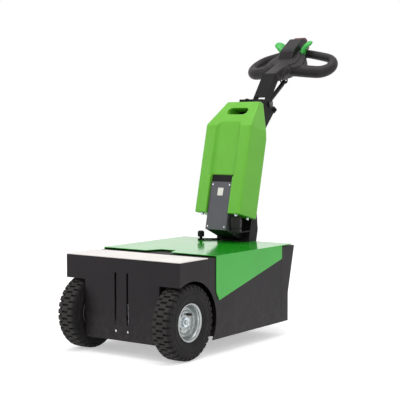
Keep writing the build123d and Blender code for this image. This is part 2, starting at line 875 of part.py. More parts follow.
# Release knob on a flat arm that lies on the foot's base plate
knob_x = behind(knob_back)
arm_end_x = base_front_x + foot_toe / 2
arm_end_side = 2 * knob_stem_radius - foot_width / 2
arm_level = foot_level + knob_foot_height
with BuildPart() as release_knob:
    with BuildSketch(Plane.XY.offset(arm_level)):
        with BuildLine():
            Polyline(
                (knob_x + knob_arm_half, knob_side), (arm_end_x + knob_stem_radius, arm_end_side + knob_foot_radius),
                (arm_end_x - knob_stem_radius, arm_end_side + knob_foot_radius),
                (arm_end_x - knob_stem_radius, arm_end_side - knob_stem_radius),
                (knob_x - knob_arm_half, knob_side - knob_foot_radius), close=True,
            )
        make_face()
        with Locations((knob_x, knob_side)):
            Circle(knob_radius)
    extrude(amount=knob_arm)
    with BuildSketch(Plane.XY.offset(foot_level)):
        with Locations((arm_end_x, arm_end_side)):
            Circle(knob_foot_radius)
    extrude(amount=knob_foot_height)
    with BuildSketch(Plane.XY.offset(arm_level + knob_arm)):
        with Locations((knob_x, knob_side)):
            Circle(knob_stem_radius)
    extrude(amount=knob_low - arm_level - knob_arm)
    with BuildSketch(Plane.XY.offset(knob_low)):
        with Locations((knob_x, knob_side)):
            Circle(knob_radius)
    extrude(amount=knob_height)
    fillet(release_knob.edges().group_by(Axis.Z)[-1], knob_edge)
save(release_knob, "release_knob")

# Tiller arm: a channel whose open side faces back, so that the gas spring nests between its sides
arm_up = (-cos(radians(arm_elevation)), 0, sin(radians(arm_elevation)))
pivot_place = (behind(pivot_back), 0, pivot_height)
arm_plane = Plane(origin=pivot_place, x_dir=(arm_up[2], 0, -arm_up[0]), z_dir=(0, -1, 0))
# In the arm's own plane x points forward off the arm and y runs up along it
with BuildPart() as tiller_arm:
    with BuildSketch(arm_plane):
        with BuildLine():
            Polyline(
                (arm_front, 0), (arm_front, arm_length), (arm_front - arm_depth, arm_length - arm_head_slope),
                (arm_front - arm_depth, arm_full_depth), (-arm_boss_radius, arm_waist),
                (-arm_boss_radius, 0), close=True,
            )
        make_face()
        Circle(arm_boss_radius)
    extrude(amount=arm_width / 2, both=True)
    with BuildSketch(arm_plane):
        with BuildLine():
            Polyline(
                (arm_front - arm_wall, arm_web_start), (arm_front - arm_wall, arm_length - arm_end_wall),
                (-arm_depth - arm_front, arm_length - arm_end_wall - arm_head_slope),
                (-arm_depth - arm_front, -arm_depth), (arm_depth, -arm_depth), (arm_depth, arm_web_start),
                close=True,
            )
        make_face()
    extrude(amount=arm_width / 2 - arm_wall, both=True, mode=Mode.SUBTRACT)
    for side_name, side in sides:
        with BuildSketch(arm_plane.offset(-side * (arm_width / 2 - arm_wall))):
            Circle(arm_spacer_radius)
        extrude(amount=-side * (column_width / 2 - touch_gap - arm_width / 2 + arm_wall))
    with BuildSketch(arm_plane):
        Circle(pivot_pin_radius + running_gap)
    extrude(amount=column_width / 2, both=True, mode=Mode.SUBTRACT)
save(tiller_arm, "tiller_arm")

# Handle ring: an oval of arcs, tilted up towards the operator, whose halves droop towards their ends
tilt_cos = cos(radians(ring_tilt))
tilt_sin = sin(radians(ring_tilt))
ring_centre = (behind(ring_back), 0, ring_height)
ring_plane = Plane(origin=ring_centre, x_dir=(0, 1, 0), z_dir=(tilt_sin, 0, tilt_cos))
head_side = Plane(origin=ring_centre, x_dir=(-tilt_cos, 0, tilt_sin), z_dir=(0, 1, 0))
end_centre = ring_half_width - ring_end_radius
end_spare = ring_half_length - ring_end_radius
flat_shift = (end_centre ** 2 - end_spare ** 2) / (2 * end_spare)
flat_radius = ring_half_length + flat_shift
end_turn = degrees(atan2(flat_shift, end_centre))
with BuildPart() as handle_ring:
    with BuildLine(ring_plane.offset(ring_rise).rotated((0, ring_droop, 0))) as half_path:
        Line((-ring_lap, -ring_half_length), (0, -ring_half_length))
        CenterArc((0, flat_shift), flat_radius, 270, 90 - end_turn)
        CenterArc((end_centre, 0), ring_end_radius, -end_turn, 2 * end_turn)
        CenterArc((0, -flat_shift), flat_radius, end_turn, 90 - end_turn)
        Line((0, ring_half_length), (-ring_lap, ring_half_length))
    half_wire = half_path.wires()[0]
    with BuildSketch(Plane(origin=half_wire @ 0, z_dir=half_wire % 0)):
        Circle(ring_tube_radius)
    sweep(path=half_wire)
    split(bisect_by=Plane(origin=(0, 0, 0), z_dir=(0, 1, 0)), keep=Keep.TOP)
    mirror(about=Plane.XZ)
save(handle_ring, "handle_ring")

# Tiller head: neck from the arm, hub inside the ring and the pod on top
arm_top_front = (pivot_place[0] + arm_up[2] * arm_front + arm_up[0] * arm_length,
                 pivot_place[2] - arm_up[0] * arm_front + arm_up[2] * arm_length)
arm_top_back = (arm_top_front[0] - arm_up[2] * arm_depth - arm_up[0] * arm_head_slope,
                arm_top_front[1] + arm_up[0] * arm_depth - arm_up[2] * arm_head_slope)
hub_front = -ring_half_length - hub_lead
spring_head_x = behind(spring_head_back)
with BuildPart() as tiller_head:
    with BuildSketch(middle):
        with BuildLine():
            Polyline(arm_top_front, *[(behind(back), height) for back, height in neck_points], arm_top_back,
                     close=True)
        make_face()
    extrude(amount=arm_width / 2, both=True)
    with BuildSketch(ring_plane.offset(hub_lift - hub_half_height)):
        with BuildLine():
            Polyline(
                (-hub_front_width / 2, hub_front), (hub_front_width / 2, hub_front),
                (hub_waist_width / 2, hub_waist), (hub_rear_width / 2, hub_shoulder),
                (hub_rear_width / 2, hub_rear), (-hub_rear_width / 2, hub_rear),
                (-hub_rear_width / 2, hub_shoulder), (-hub_waist_width / 2, hub_waist),
                close=True,
            )
        make_face()
    extrude(amount=2 * hub_half_height)
    with BuildSketch(head_side):
        with BuildLine():
            Polyline(
                (pod_front, 2 * pod_low), (pod_brow, pod_top), (pod_rear - pod_slope, pod_top),
                (pod_rear, pod_top - pod_edge), (pod_rear, pod_low), (pod_front, pod_low), close=True,
            )
        make_face()
    extrude(amount=pod_width / 2, both=True)
    with BuildSketch(middle):
        with BuildLine():
            Polyline(
                (spring_head_x + head_lug, spring_head_height),
                (spring_head_x + head_lug_back, spring_head_height + head_lug_rise),
                (spring_head_x - head_lug_back, spring_head_height + head_lug_rise),
                (spring_head_x - head_lug, spring_head_height), close=True,
            )
        make_face()
        with Locations((spring_head_x, spring_head_height)):
            Circle(head_lug)
    extrude(amount=eye_width / 2 + head_lug_wall, both=True)
    add(handle_ring.part, mode=Mode.SUBTRACT)
    with BuildSketch(middle):
        with Locations((spring_head_x, spring_head_height)):
            Circle(eye_radius + 6)
    extrude(amount=eye_width / 2 + 1, both=True, mode=Mode.SUBTRACT)
    with BuildSketch(middle):
        with Locations((spring_head_x, spring_head_height)):
            Circle(spring_pin_radius)
    extrude(amount=eye_width / 2 + head_lug_wall + 2, both=True)
save(tiller_head, "tiller_head")

# Belly switch on the pod's rear end
with BuildPart() as belly_switch:
    with BuildSketch(head_side):
        with BuildLine():
            Polyline(
                (pod_rear, belly_low), (pod_rear, belly_high - belly_edge),
                (pod_rear + belly_length - belly_edge, belly_high),
                (pod_rear + belly_length, belly_high - 2 * belly_edge),
                (pod_rear + belly_length, belly_low + belly_edge),
                (pod_rear + belly_length - belly_edge, belly_low), close=True,
            )
        make_face()
    extrude(amount=belly_width / 2, both=True)
    add(handle_ring.part, mode=Mode.SUBTRACT)
save(belly_switch, "belly_switch")

# Thumb levers: a wing on each side of the pod, with a root beside the hub and a tip that flares outwards
lever_inside = pod_width / 2 + touch_gap
lever_outside = lever_inside + lever_thickness
for side_name, side in sides:
    lever_plane = Plane(origin=ring_centre, x_dir=(0, side, 0), z_dir=(tilt_cos * side, 0, -tilt_sin * side))
    with BuildPart() as thumb_lever:
        with BuildSketch(lever_plane.offset(-side * lever_wing_front)):
            with BuildLine():
                Polyline(
                    (lever_inside, lever_bend), (lever_inside, lever_bend + lever_thickness),
                    (lever_shoulder, lever_height - lever_thickness), (lever_brow, lever_height),
                    (lever_reach, lever_height), (lever_reach, lever_height - lever_thickness),
                    (lever_brow, lever_height - lever_thickness),
                    (lever_shoulder, lever_height - 2 * lever_thickness), (lever_outside, lever_bend), close=True,
                )
            make_face()
        extrude(amount=-side * (lever_wing_rear - lever_wing_front))
        with BuildSketch(lever_plane.offset(-side * lever_root_front)):
            with BuildLine():
                Polyline(
                    (lever_inside, lever_low), (lever_inside, lever_bend + lever_thickness),
                    (lever_outside, lever_bend + lever_thickness),
                    (lever_outside + lever_thickness, hub_half_height),
                    (lever_outside + lever_thickness, lever_low), close=True,
                )
            make_face()
        extrude(amount=-side * (lever_root_rear - lever_root_front))
        add(tiller_head.part, mode=Mode.SUBTRACT)
        add(handle_ring.part, mode=Mode.SUBTRACT)
    save(thumb_lever, "thumb_lever_" + side_name)

# Gas spring between the head's lug and the column's cheeks
spring_head_place = (spring_head_x, 0, spring_head_height)
spring_foot_place = (behind(spring_foot_back), 0, spring_foot_height)
spring_span = (Vector(*spring_foot_place) - Vector(*spring_head_place)).length
spring_way = (Vector(*spring_foot_place) - Vector(*spring_head_place)).normalized()
from_head = Plane(origin=spring_head_place, x_dir=(0, 1, 0), z_dir=spring_way)
from_foot = Plane(origin=spring_foot_place, x_dir=(0, 1, 0), z_dir=-spring_way)
with BuildPart() as spring_cylinder:
    with BuildSketch(across(0)):
        with Locations((spring_head_place[0], spring_head_place[2])):
            Circle(eye_radius)
    extrude(amount=eye_width / 2, both=True)
    with BuildSketch(from_head):
        Circle(neck_radius)
    extrude(amount=eye_radius + spring_neck + 1)
    with BuildSketch(from_head.offset(eye_radius + spring_neck)):
        Circle(spring_body_radius)
    extrude(amount=spring_body_length)
    with BuildSketch(from_head.offset(eye_radius + spring_neck + spring_body_length)):
        Circle(spring_rod_radius + touch_gap)
    extrude(amount=-(spring_body_length - spring_end), mode=Mode.SUBTRACT)
    with BuildSketch(across(0)):
        with Locations((spring_head_place[0], spring_head_place[2])):
            Circle(spring_pin_radius + running_gap)
    extrude(amount=eye_width, both=True, mode=Mode.SUBTRACT)
save(spring_cylinder, "spring_cylinder")

rod_length = spring_span - eye_radius - spring_neck - spring_body_length + spring_rod_inside
with BuildPart() as spring_rod:
    with BuildSketch(across(0)):
        with Locations((spring_foot_place[0], spring_foot_place[2])):
            Circle(open_eye_radius)
    extrude(amount=eye_width / 2, both=True)
    with BuildSketch(from_foot):
        Circle(spring_rod_radius)
    extrude(amount=rod_length)
    with BuildSketch(across(0)):
        with Locations((spring_foot_place[0], spring_foot_place[2])):
            Circle(open_eye_bore)
    extrude(amount=eye_width, both=True, mode=Mode.SUBTRACT)
save(spring_rod, "spring_rod")
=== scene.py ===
"""Looks of a walk-behind electric tug: finishes, wheels, battery, handle, fasteners and studio.

Metres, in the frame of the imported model: X points forward out of the coupling face, Y to the machine's left
and Z up from the floor. Each sub-assembly is a class that holds its sizes and builds its own pieces.
"""
import json
import logging
import math
from dataclasses import dataclass, field
from enum import Enum
from typing import Callable, Iterable, Mapping, Optional, Sequence, Union

import bmesh
import bpy
from mathutils import Matrix, Vector

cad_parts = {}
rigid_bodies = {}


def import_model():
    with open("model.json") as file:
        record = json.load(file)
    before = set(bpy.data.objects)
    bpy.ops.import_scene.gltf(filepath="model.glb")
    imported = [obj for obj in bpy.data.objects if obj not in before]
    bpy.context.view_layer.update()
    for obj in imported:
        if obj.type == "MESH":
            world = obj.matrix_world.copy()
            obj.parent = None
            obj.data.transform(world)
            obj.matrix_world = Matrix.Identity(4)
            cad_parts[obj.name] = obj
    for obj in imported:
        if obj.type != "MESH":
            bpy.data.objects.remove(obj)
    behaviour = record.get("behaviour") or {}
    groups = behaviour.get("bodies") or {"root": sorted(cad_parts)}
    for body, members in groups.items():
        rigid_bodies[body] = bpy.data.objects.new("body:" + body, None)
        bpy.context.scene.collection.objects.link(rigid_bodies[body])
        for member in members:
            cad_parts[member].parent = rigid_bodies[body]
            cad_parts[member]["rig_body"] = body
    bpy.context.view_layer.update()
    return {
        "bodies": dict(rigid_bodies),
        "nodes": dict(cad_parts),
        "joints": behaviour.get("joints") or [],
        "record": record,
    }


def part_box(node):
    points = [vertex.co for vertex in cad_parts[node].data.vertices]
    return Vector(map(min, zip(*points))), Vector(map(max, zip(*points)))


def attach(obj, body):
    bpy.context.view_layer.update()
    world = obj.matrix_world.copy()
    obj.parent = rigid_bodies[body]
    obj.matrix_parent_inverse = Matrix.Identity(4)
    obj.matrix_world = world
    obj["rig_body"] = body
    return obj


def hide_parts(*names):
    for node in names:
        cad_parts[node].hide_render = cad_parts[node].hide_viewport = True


log = logging.getLogger("tug")
Colour = tuple[float, float, float]
Point = tuple[float, float]
Number = Union[float, "Term"]
SIDES: dict[str, int] = {"left": 1, "right": -1}


class Body(Enum):
    """Bodies of the machine that pieces ride on."""

    CHASSIS = "chassis"
    WHEEL_LEFT = "wheel_left"
    WHEEL_RIGHT = "wheel_right"
    FORK = "castor_fork"
    CASTOR = "castor_wheel"
    TILLER = "tiller"
    SPRING_CYLINDER = "spring_cylinder"
    SPRING_ROD = "spring_rod"


class Slot(Enum):
    """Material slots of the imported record."""

    BLACK_PAINT = "black_paint"
    LIGHT_PLATE = "light_plate"
    HOOD_GREEN = "hood_green"
    ZINC = "zinc"
    CAST = "cast_housing"
    IRON = "ballast_iron"
    COVER = "cover_grey"
    BATTERY = "battery_green"
    PLASTIC = "black_plastic"
    TYRE = "tyre"
    CASTOR_TREAD = "castor_tread"
    CASTOR_HUB = "castor_hub"
    RED = "switch_red"
    LEVER = "lever_green"
    ROD = "rod_steel"


def linear(red: float, green: float, blue: float) -> Colour:
    """Linear colour of a display colour given from 0 to 255."""
    def one(value: float) -> float:
        share = value / 255
        return share / 12.92 if share <= 0.04045 else ((share + 0.055) / 1.055) ** 2.4
    return one(red), one(green), one(blue)


class Term:
    """A number that changes over a surface, so that shader maths reads as Python."""

    def __init__(self, shade: "Shade", socket: bpy.types.NodeSocket) -> None:
        """Wrap one output socket of a material's tree."""
        self.shade = shade
        self.socket = socket

    def _maths(self, operation: str, first: Number, second: Number) -> "Term":
        """Add a Math node.

        Args:
            operation: the node's operation.
            first: its first value.
            second: its second value.

        Returns:
            The result as a new term.
        """
        made = self.shade.node("ShaderNodeMath", {"operation": operation}, {0: first, 1: second})
        return Term(self.shade, made.outputs[0])

    def __add__(self, other: Number) -> "Term":
        """Sum."""
        return self._maths("ADD", self, other)

    __radd__ = __add__

    def __sub__(self, other: Number) -> "Term":
        """Difference."""
        return self._maths("SUBTRACT", self, other)

    def __rsub__(self, other: Number) -> "Term":
        """Difference with the term on the right."""
        return self._maths("SUBTRACT", other, self)

    def __mul__(self, other: Number) -> "Term":
        """Product."""
        return self._maths("MULTIPLY", self, other)

    __rmul__ = __mul__

    def __pow__(self, other: Number) -> "Term":
        """Power."""
        return self._maths("POWER", self, other)

    def above(self, low: float, high: float) -> "Term":
        """Smooth mask: 0 under low, 1 over high."""
        ramp = self.shade.node(
            "ShaderNodeMapRange", {"interpolation_type": "SMOOTHSTEP", "clamp": True},
            {"Value": self, "From Min": low, "From Max": high})
        return Term(self.shade, ramp.outputs["Result"])


class Shade:
    """Builder of one procedural material."""

    def __init__(self, name: str) -> None:
        """Start an empty material with its surface shader and its object coordinates."""
        self.material = bpy.data.materials.new(name)
        self.material.use_nodes = True
        self.tree = self.material.node_tree
        self.tree.nodes.clear()
        self.surface = self.node("ShaderNodeBsdfPrincipled", {}, {})
        output = self.node("ShaderNodeOutputMaterial", {}, {})
        self.tree.links.new(self.surface.outputs[0], output.inputs["Surface"])
        self.place = self.node("ShaderNodeTexCoord", {}, {}).outputs["Object"]

    def node(self, kind: str, settings: Mapping[str, object], inputs: Mapping) -> bpy.types.Node:
        """Make any node.

        Args:
            kind: the node's type.
            settings: its own settings, which are set first.
            inputs: values, terms or sockets for its input sockets, by name or number.

        Returns:
            The new node.
        """
        made = self.tree.nodes.new(kind)
        for key, value in settings.items():
            setattr(made, key, value)
        for key, value in inputs.items():
            if isinstance(value, Term):
                self.tree.links.new(value.socket, made.inputs[key])
            elif isinstance(value, bpy.types.NodeSocket):
                self.tree.links.new(value, made.inputs[key])
            elif isinstance(value, tuple) and len(value) == 3 and made.inputs[key].type == "RGBA":
                made.inputs[key].default_value = (*value, 1.0)
            else:
                made.inputs[key].default_value = value
        return made

    def mapped(self, scale: Colour) -> bpy.types.NodeSocket:
        """Object coordinates stretched by a scale."""
        made = self.node("ShaderNodeMapping", {}, {"Vector": self.place, "Scale": scale})
        return made.outputs[0]

    def noise(self, scale: float, detail: float = 3.0, rough: float = 0.5,
              stretch: Optional[Colour] = None) -> Term:
        """Cloudy noise from 0 to 1.

        Args:
            scale: features per metre.
            detail: number of finer layers.
            rough: weight of the finer layers.
            stretch: scale of the coordinates, for streaks.

        Returns:
            The noise's value.
        """
        place = self.mapped(stretch) if stretch else self.place
        made = self.node("ShaderNodeTexNoise", {"noise_dimensions": "3D"},
                         {"Vector": place, "Scale": scale, "Detail": detail, "Roughness": rough})
        return Term(self, made.outputs[0])

    def cells(self, scale: float) -> Term:
        """Cell pattern: the distance to the nearest centre."""
        made = self.node("ShaderNodeTexVoronoi", {"feature": "F1"}, {"Vector": self.place, "Scale": scale})
        return Term(self, made.outputs["Distance"])

    def axis(self, index: int) -> Term:
        """One coordinate of the place: 0 for X, 1 for Y, 2 for Z."""
        made = self.node("ShaderNodeSeparateXYZ", {}, {0: self.place})
        return Term(self, made.outputs[index])

    def mix(self, share: Term, first, second) -> bpy.types.NodeSocket:
        """Colour between two colours."""
        made = self.node("ShaderNodeMix", {"data_type": "RGBA"}, {"Factor": share, 6: first, 7: second})
        return made.outputs[2]

    def bump(self, height: Term, strength: float, distance: float, under=None) -> bpy.types.NodeSocket:
        """Normal that a height gives, over another normal if there is one."""
        inputs = {"Height": height, "Strength": strength, "Distance": distance}
        if under is not None:
            inputs["Normal"] = under
        return self.node("ShaderNodeBump", {}, inputs).outputs[0]

    def set(self, **inputs) -> bpy.types.Material:
        """Fill the surface shader's sockets.

        Args:
            **inputs: values or links, with spaces in socket names written as underscores.

        Returns:
            The finished material.
        """
        for key, value in inputs.items():
            socket = self.surface.inputs[key.replace("_", " ")]
            if isinstance(value, Term):
                self.tree.links.new(value.socket, socket)
            elif isinstance(value, bpy.types.NodeSocket):
                self.tree.links.new(value, socket)
            elif isinstance(value, tuple):
                socket.default_value = (*value, 1.0)
            else:
                socket.default_value = value
        return self.material


@dataclass(frozen=True)
class Paint:
    """Coat on sheet steel: slight cloudiness, orange peel, hairline scuffs and floor dust low down."""

    name: str
    slot: Slot
    colour: Colour
    shadow: Colour
    gloss: float
    peel: float = 0.05
    peel_scale: float = 420.0
    dust: float = 0.25
    coat: float = 0.0
    streak: float = 0.35
    shine: float = 0.5

    def material(self) -> bpy.types.Material:
        """Build the finish."""
        shade = Shade(self.name)
        clouds = shade.noise(7.0, 5.0, 0.55)
        scuffs = shade.noise(9.0, 6.0, 0.7, (1.0, 1.0, 22.0)).above(0.66, 0.76)
        specks = shade.noise(160.0, 2.0, 0.5).above(0.70, 0.78)
        low = 1.0 - shade.axis(2).above(0.03, 0.24)
        dust = low * shade.noise(38.0, 5.0, 0.6).above(0.38, 0.75) * self.dust + specks * 0.05
        base = shade.mix(clouds.above(0.3, 0.7), self.colour, self.shadow)
        base = shade.mix(dust, base, linear(150, 142, 132))
        rough = self.gloss + (clouds - 0.5) * 0.10 + scuffs * 0.10 * self.streak + dust * 0.35
        normal = shade.bump(shade.noise(self.peel_scale, 2.0, 0.5), self.peel, 0.0006)
        normal = shade.bump(scuffs, 0.03 * self.streak, 0.0004, normal)
        return shade.set(Base_Color=base, Roughness=rough, Normal=normal, Coat_Weight=self.coat,
                         Coat_Roughness=0.06, Specular_IOR_Level=self.shine)


@dataclass(frozen=True)
class Moulding:
    """Moulded plastic: fine grain, slightly mottled colour, rubbed places and faint flow marks."""

    name: str
    slot: Slot
    colour: Colour
    rubbed: Colour
    gloss: float
    grain: float = 0.12
    grain_scale: float = 900.0
    wear: float = 0.25
    shine: float = 0.5

    def material(self) -> bpy.types.Material:
        """Build the finish."""
        shade = Shade(self.name)
        clouds = shade.noise(11.0, 4.0, 0.5)
        flow = shade.noise(5.0, 4.0, 0.6, (1.0, 1.0, 0.25))
        rub = shade.noise(55.0, 5.0, 0.65).above(0.60, 0.78) * self.wear
        base = shade.mix(clouds.above(0.25, 0.8) * 0.5 + rub, self.colour, self.rubbed)
        rough = self.gloss + (flow - 0.5) * 0.16 + rub * 0.2
        normal = shade.bump(shade.noise(self.grain_scale, 3.0, 0.6), self.grain, 0.0004)
        normal = shade.bump(flow, 0.04, 0.002, normal)
        return shade.set(Base_Color=base, Roughness=rough, Normal=normal, Specular_IOR_Level=self.shine)


@dataclass(frozen=True)
class Rubber:
    """Tyre rubber: worn grey crowns, dust in the grooves and a matt grain."""

    name: str
    slot: Slot
    colour: Colour
    worn: Colour
    axle: tuple[float, float]
    crown: float

    def material(self) -> bpy.types.Material:
        """Build the finish."""
        shade = Shade(self.name)
        across_x = shade.axis(0) - self.axle[0]
        across_z = shade.axis(2) - self.axle[1]
        radius = (across_x * across_x + across_z * across_z) ** 0.5
        crown = radius.above(self.crown - 0.0035, self.crown - 0.0005)
        grit = shade.noise(120.0, 6.0, 0.7)
        film = shade.noise(24.0, 5.0, 0.6).above(0.35, 0.75)
        base = shade.mix(crown * (0.35 + grit * 0.55) + film * 0.22, self.colour, self.worn)
        rough = 0.62 + grit * 0.25 - crown * 0.05
        normal = shade.bump(shade.noise(700.0, 4.0, 0.7), 0.30, 0.0006)
        normal = shade.bump(grit, 0.12, 0.0012, normal)
        return shade.set(Base_Color=base, Roughness=rough, Normal=normal, Specular_IOR_Level=0.26)


@dataclass(frozen=True)
class Plating:
    """Bright metal: zinc spangle or fine machining marks, with dull spots, and, where a reach is set, painted
    shade that darkens the side nearer the machine's middle.
    """

    name: str
    slot: Slot
    colour: Colour
    dull: Colour
    gloss: float
    spangle: float = 55.0
    brushed: float = 0.0
    painted_shade_reach: float = 0.0

    def material(self) -> bpy.types.Material:
        """Build the finish."""
        shade = Shade(self.name)
        spangle = shade.cells(self.spangle)
        stain = shade.noise(30.0, 6.0, 0.65).above(0.50, 0.80)
        lines = shade.noise(260.0, 2.0, 0.5, (1.0, 8.0, 1.0))
        base = shade.mix(spangle * 0.55 + stain * 0.45, self.colour, self.dull)
        # Painted shade: the rim's inner side, nearer the machine's middle than the reach, is mixed almost to
        # black.
        if self.painted_shade_reach:
            across = shade.axis(1)
            inner = 1.0 - ((across * across) ** 0.5).above(self.painted_shade_reach - 0.006, self.painted_shade_reach)
            base = shade.mix(inner * 0.92, base, linear(44, 42, 42))
        rough = self.gloss + spangle * 0.12 + stain * 0.16 + lines * self.brushed
        normal = shade.bump(spangle, 0.05, 0.0008)
        normal = shade.bump(lines, 0.04 + self.brushed * 0.3, 0.0003, normal)
        return shade.set(Base_Color=base, Roughness=rough, Normal=normal, Metallic=1.0)


@dataclass(frozen=True)
class Casting:
    """Cast or sawn metal under paint: coarse skin with grime."""

    name: str
    slot: Slot
    colour: Colour
    grime: Colour
    gloss: float = 0.62
    skin: float = 260.0

    def material(self) -> bpy.types.Material:
        """Build the finish."""
        shade = Shade(self.name)
        skin = shade.noise(self.skin, 5.0, 0.65)
        grime = shade.noise(18.0, 5.0, 0.6).above(0.40, 0.72)
        base = shade.mix(grime * 0.8 + skin * 0.15, self.colour, self.grime)
        rough = self.gloss + grime * 0.2 - skin * 0.08
        normal = shade.bump(skin, 0.45, 0.0012)
        return shade.set(Base_Color=base, Roughness=rough, Normal=normal, Metallic=0.15)


FACE = 0.5778
AXLE_X = FACE - 0.071
AXLE_Z = 0.130
CASTOR_AXLE = (FACE - 0.605, 0.0625)

FINISHES: dict[str, Union[Paint, Moulding, Rubber, Plating, Casting]] = {
    "black": Paint("black_powder_coat", Slot.BLACK_PAINT, linear(31, 26, 30), linear(25, 21, 24), 0.42,
                   peel=0.10, peel_scale=620.0, dust=0.06, shine=0.20),
    "inner": Paint("black_inner_coat", Slot.BLACK_PAINT, linear(25, 23, 25), linear(18, 17, 18), 0.54,
                   peel=0.16, peel_scale=500.0, dust=0.22, shine=0.16),
    # Painted reflection: this near-white colour stands in for the white surroundings reflected in the front
    # top plate, over the plate's own pale tone.
    "light": Paint("pale_plate_coat", Slot.LIGHT_PLATE, linear(236, 230, 226), linear(226, 220, 216), 0.40,
                   peel=0.08, peel_scale=520.0, dust=0.10),
    "hood": Paint("green_hood_gloss", Slot.HOOD_GREEN, linear(44, 178, 42), linear(40, 169, 38), 0.15,
                  peel=0.05, peel_scale=300.0, dust=0.04, coat=0.35, shine=0.30),
    "cover": Paint("grey_cover_coat", Slot.COVER, linear(92, 90, 98), linear(84, 82, 90), 0.44,
                   peel=0.14, peel_scale=700.0, dust=0.05, shine=0.30),
    "battery": Moulding("green_battery_shell", Slot.BATTERY, linear(102, 179, 50), linear(112, 187, 64), 0.38,
                        grain=0.10, grain_scale=800.0, wear=0.22, shine=0.28),
    "plastic": Moulding("black_handle_plastic", Slot.PLASTIC, linear(34, 30, 33), linear(48, 44, 46), 0.46,
                        grain=0.22, grain_scale=1100.0, wear=0.30, shine=0.24),
    "pod": Moulding("black_pod_plastic", Slot.PLASTIC, linear(30, 27, 29), linear(42, 38, 41), 0.32,
                    grain=0.06, grain_scale=900.0, wear=0.18, shine=0.20),
    "lever": Moulding("green_lever_plastic", Slot.LEVER, linear(48, 172, 62), linear(58, 178, 72), 0.30,
                      grain=0.06, grain_scale=900.0, wear=0.25),
    "red": Moulding("red_switch_plastic", Slot.RED, linear(104, 26, 34), linear(128, 50, 54), 0.40,
                    grain=0.08, grain_scale=900.0, wear=0.25, shine=0.24),
    "tyre": Rubber("tread_rubber", Slot.TYRE, linear(24, 22, 22), linear(54, 51, 50),
                   (AXLE_X, AXLE_Z), AXLE_Z),
    "castor_tread": Rubber("castor_rubber", Slot.CASTOR_TREAD, linear(52, 50, 50), linear(92, 88, 84),
                           CASTOR_AXLE, CASTOR_AXLE[1]),
    "castor_hub": Moulding("castor_core_plastic", Slot.CASTOR_HUB, linear(66, 66, 68), linear(96, 94, 92),
                           0.5),
    "zinc": Plating("zinc_plate", Slot.ZINC, linear(214, 224, 230), linear(150, 160, 168), 0.16),
    # rim: painted shade mixes its inner side almost to black.
    "rim": Plating("rim_zinc", Slot.ZINC, linear(180, 184, 184), linear(140, 144, 144), 0.24, spangle=90.0,
                   painted_shade_reach=0.200),
    "rod": Plating("ground_rod", Slot.ROD, linear(206, 208, 212), linear(168, 168, 172), 0.12, 90.0, 0.10),
    "cast": Casting("cast_housing", Slot.CAST, linear(96, 96, 98), linear(52, 49, 46)),
    "iron": Casting("ballast_iron", Slot.IRON, linear(52, 51, 52), linear(88, 66, 50), 0.7, 180.0),
}


class Kit:
    """Workshop of the script: finishes, mesh tools and the calls that put a piece on its body."""

    def __init__(self, frame: Mapping[str, object]) -> None:
        """Keep the loaded frame and build every finish once."""
        self.nodes: Mapping[str, bpy.types.Object] = frame["nodes"]
        self.finishes = {key: finish.material() for key, finish in FINISHES.items()}

    def add(self, name: str, mesh: bpy.types.Mesh, finish: str, body: str,
            replaces: Sequence[str] = (), smooth: float = 40.0) -> bpy.types.Object:
        """Put a finished mesh on a body.

        Args:
            name: the piece's name.
            mesh: its mesh, already in place.
            finish: key of its finish.
            body: the body it rides on.
            replaces: CAD nodes that it stands for.
            smooth: edges sharper than this angle, in degrees, stay sharp; 0 keeps the mesh's own shading.

        Returns:
            The piece.
        """
        mesh.name = name
        if smooth:
            mesh.shade_smooth()
            mesh.set_sharp_from_angle(angle=math.radians(smooth))
        piece = bpy.data.objects.new(name, mesh)
        bpy.context.scene.collection.objects.link(piece)
        if not mesh.materials:
            mesh.materials.append(self.finishes[finish])
        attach(piece, body)
        if replaces:
            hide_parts(*replaces)
        log.info("piece %s on %s, %d faces", name, body, len(mesh.polygons))
        return piece

    def dress(self, node: str, finish: str) -> None:
        """Give a CAD node that stays its finish."""
        target = self.nodes[node]
        target.data.materials.clear()
        target.data.materials.append(self.finishes[finish])


def solid_mesh(build: bmesh.types.BMesh, name: str = "shape") -> bpy.types.Mesh:
    """Plain mesh of a bmesh, with doubles merged and faces pointing outwards."""
    bmesh.ops.remove_doubles(build, verts=build.verts, dist=1e-6)
    bmesh.ops.recalc_face_normals(build, faces=build.faces)
    mesh = bpy.data.meshes.new(name)
    build.to_mesh(mesh)
    build.free()
    return mesh


def evaluated(mesh: bpy.types.Mesh, *set_up: Callable[[bpy.types.Object], None]) -> bpy.types.Mesh:
    """Mesh after modifiers that are added to it for the moment.

    Args:
        mesh: the mesh to work on.
        *set_up: functions that each add one modifier.

    Returns:
        A plain mesh with the modifiers worked in.
    """
    holder = bpy.data.objects.new("holder", mesh)
    bpy.context.scene.collection.objects.link(holder)
    for step in set_up:
        step(holder)
    graph = bpy.context.evaluated_depsgraph_get()
    result = bpy.data.meshes.new_from_object(holder.evaluated_get(graph), preserve_all_data_layers=True,
                                             depsgraph=graph)
    bpy.data.objects.remove(holder)
    return result


def bevelled(width: float, segments: int = 2, angle: float = 35.0) -> Callable[[bpy.types.Object], None]:
    """Step that rounds the edges sharper than an angle."""
    def step(holder: bpy.types.Object) -> None:
        made = holder.modifiers.new("edge", "BEVEL")
        made.width = width
        made.segments = segments
        made.limit_method = "ANGLE"
        made.angle_limit = math.radians(angle)
        made.harden_normals = True
        made.miter_outer = "MITER_ARC"
    return step


def fused(voxel: float, passes: int, factor: float = 0.5) -> Callable[[bpy.types.Object], None]:
    """Step that melts overlapping shapes into one skin and softens it."""
    def step(holder: bpy.types.Object) -> None:
        made = holder.modifiers.new("skin", "REMESH")
        made.mode = "VOXEL"
        made.voxel_size = voxel
        made.use_smooth_shade = True
        soften = holder.modifiers.new("soften", "SMOOTH")
        soften.iterations = passes
        soften.factor = factor
    return step


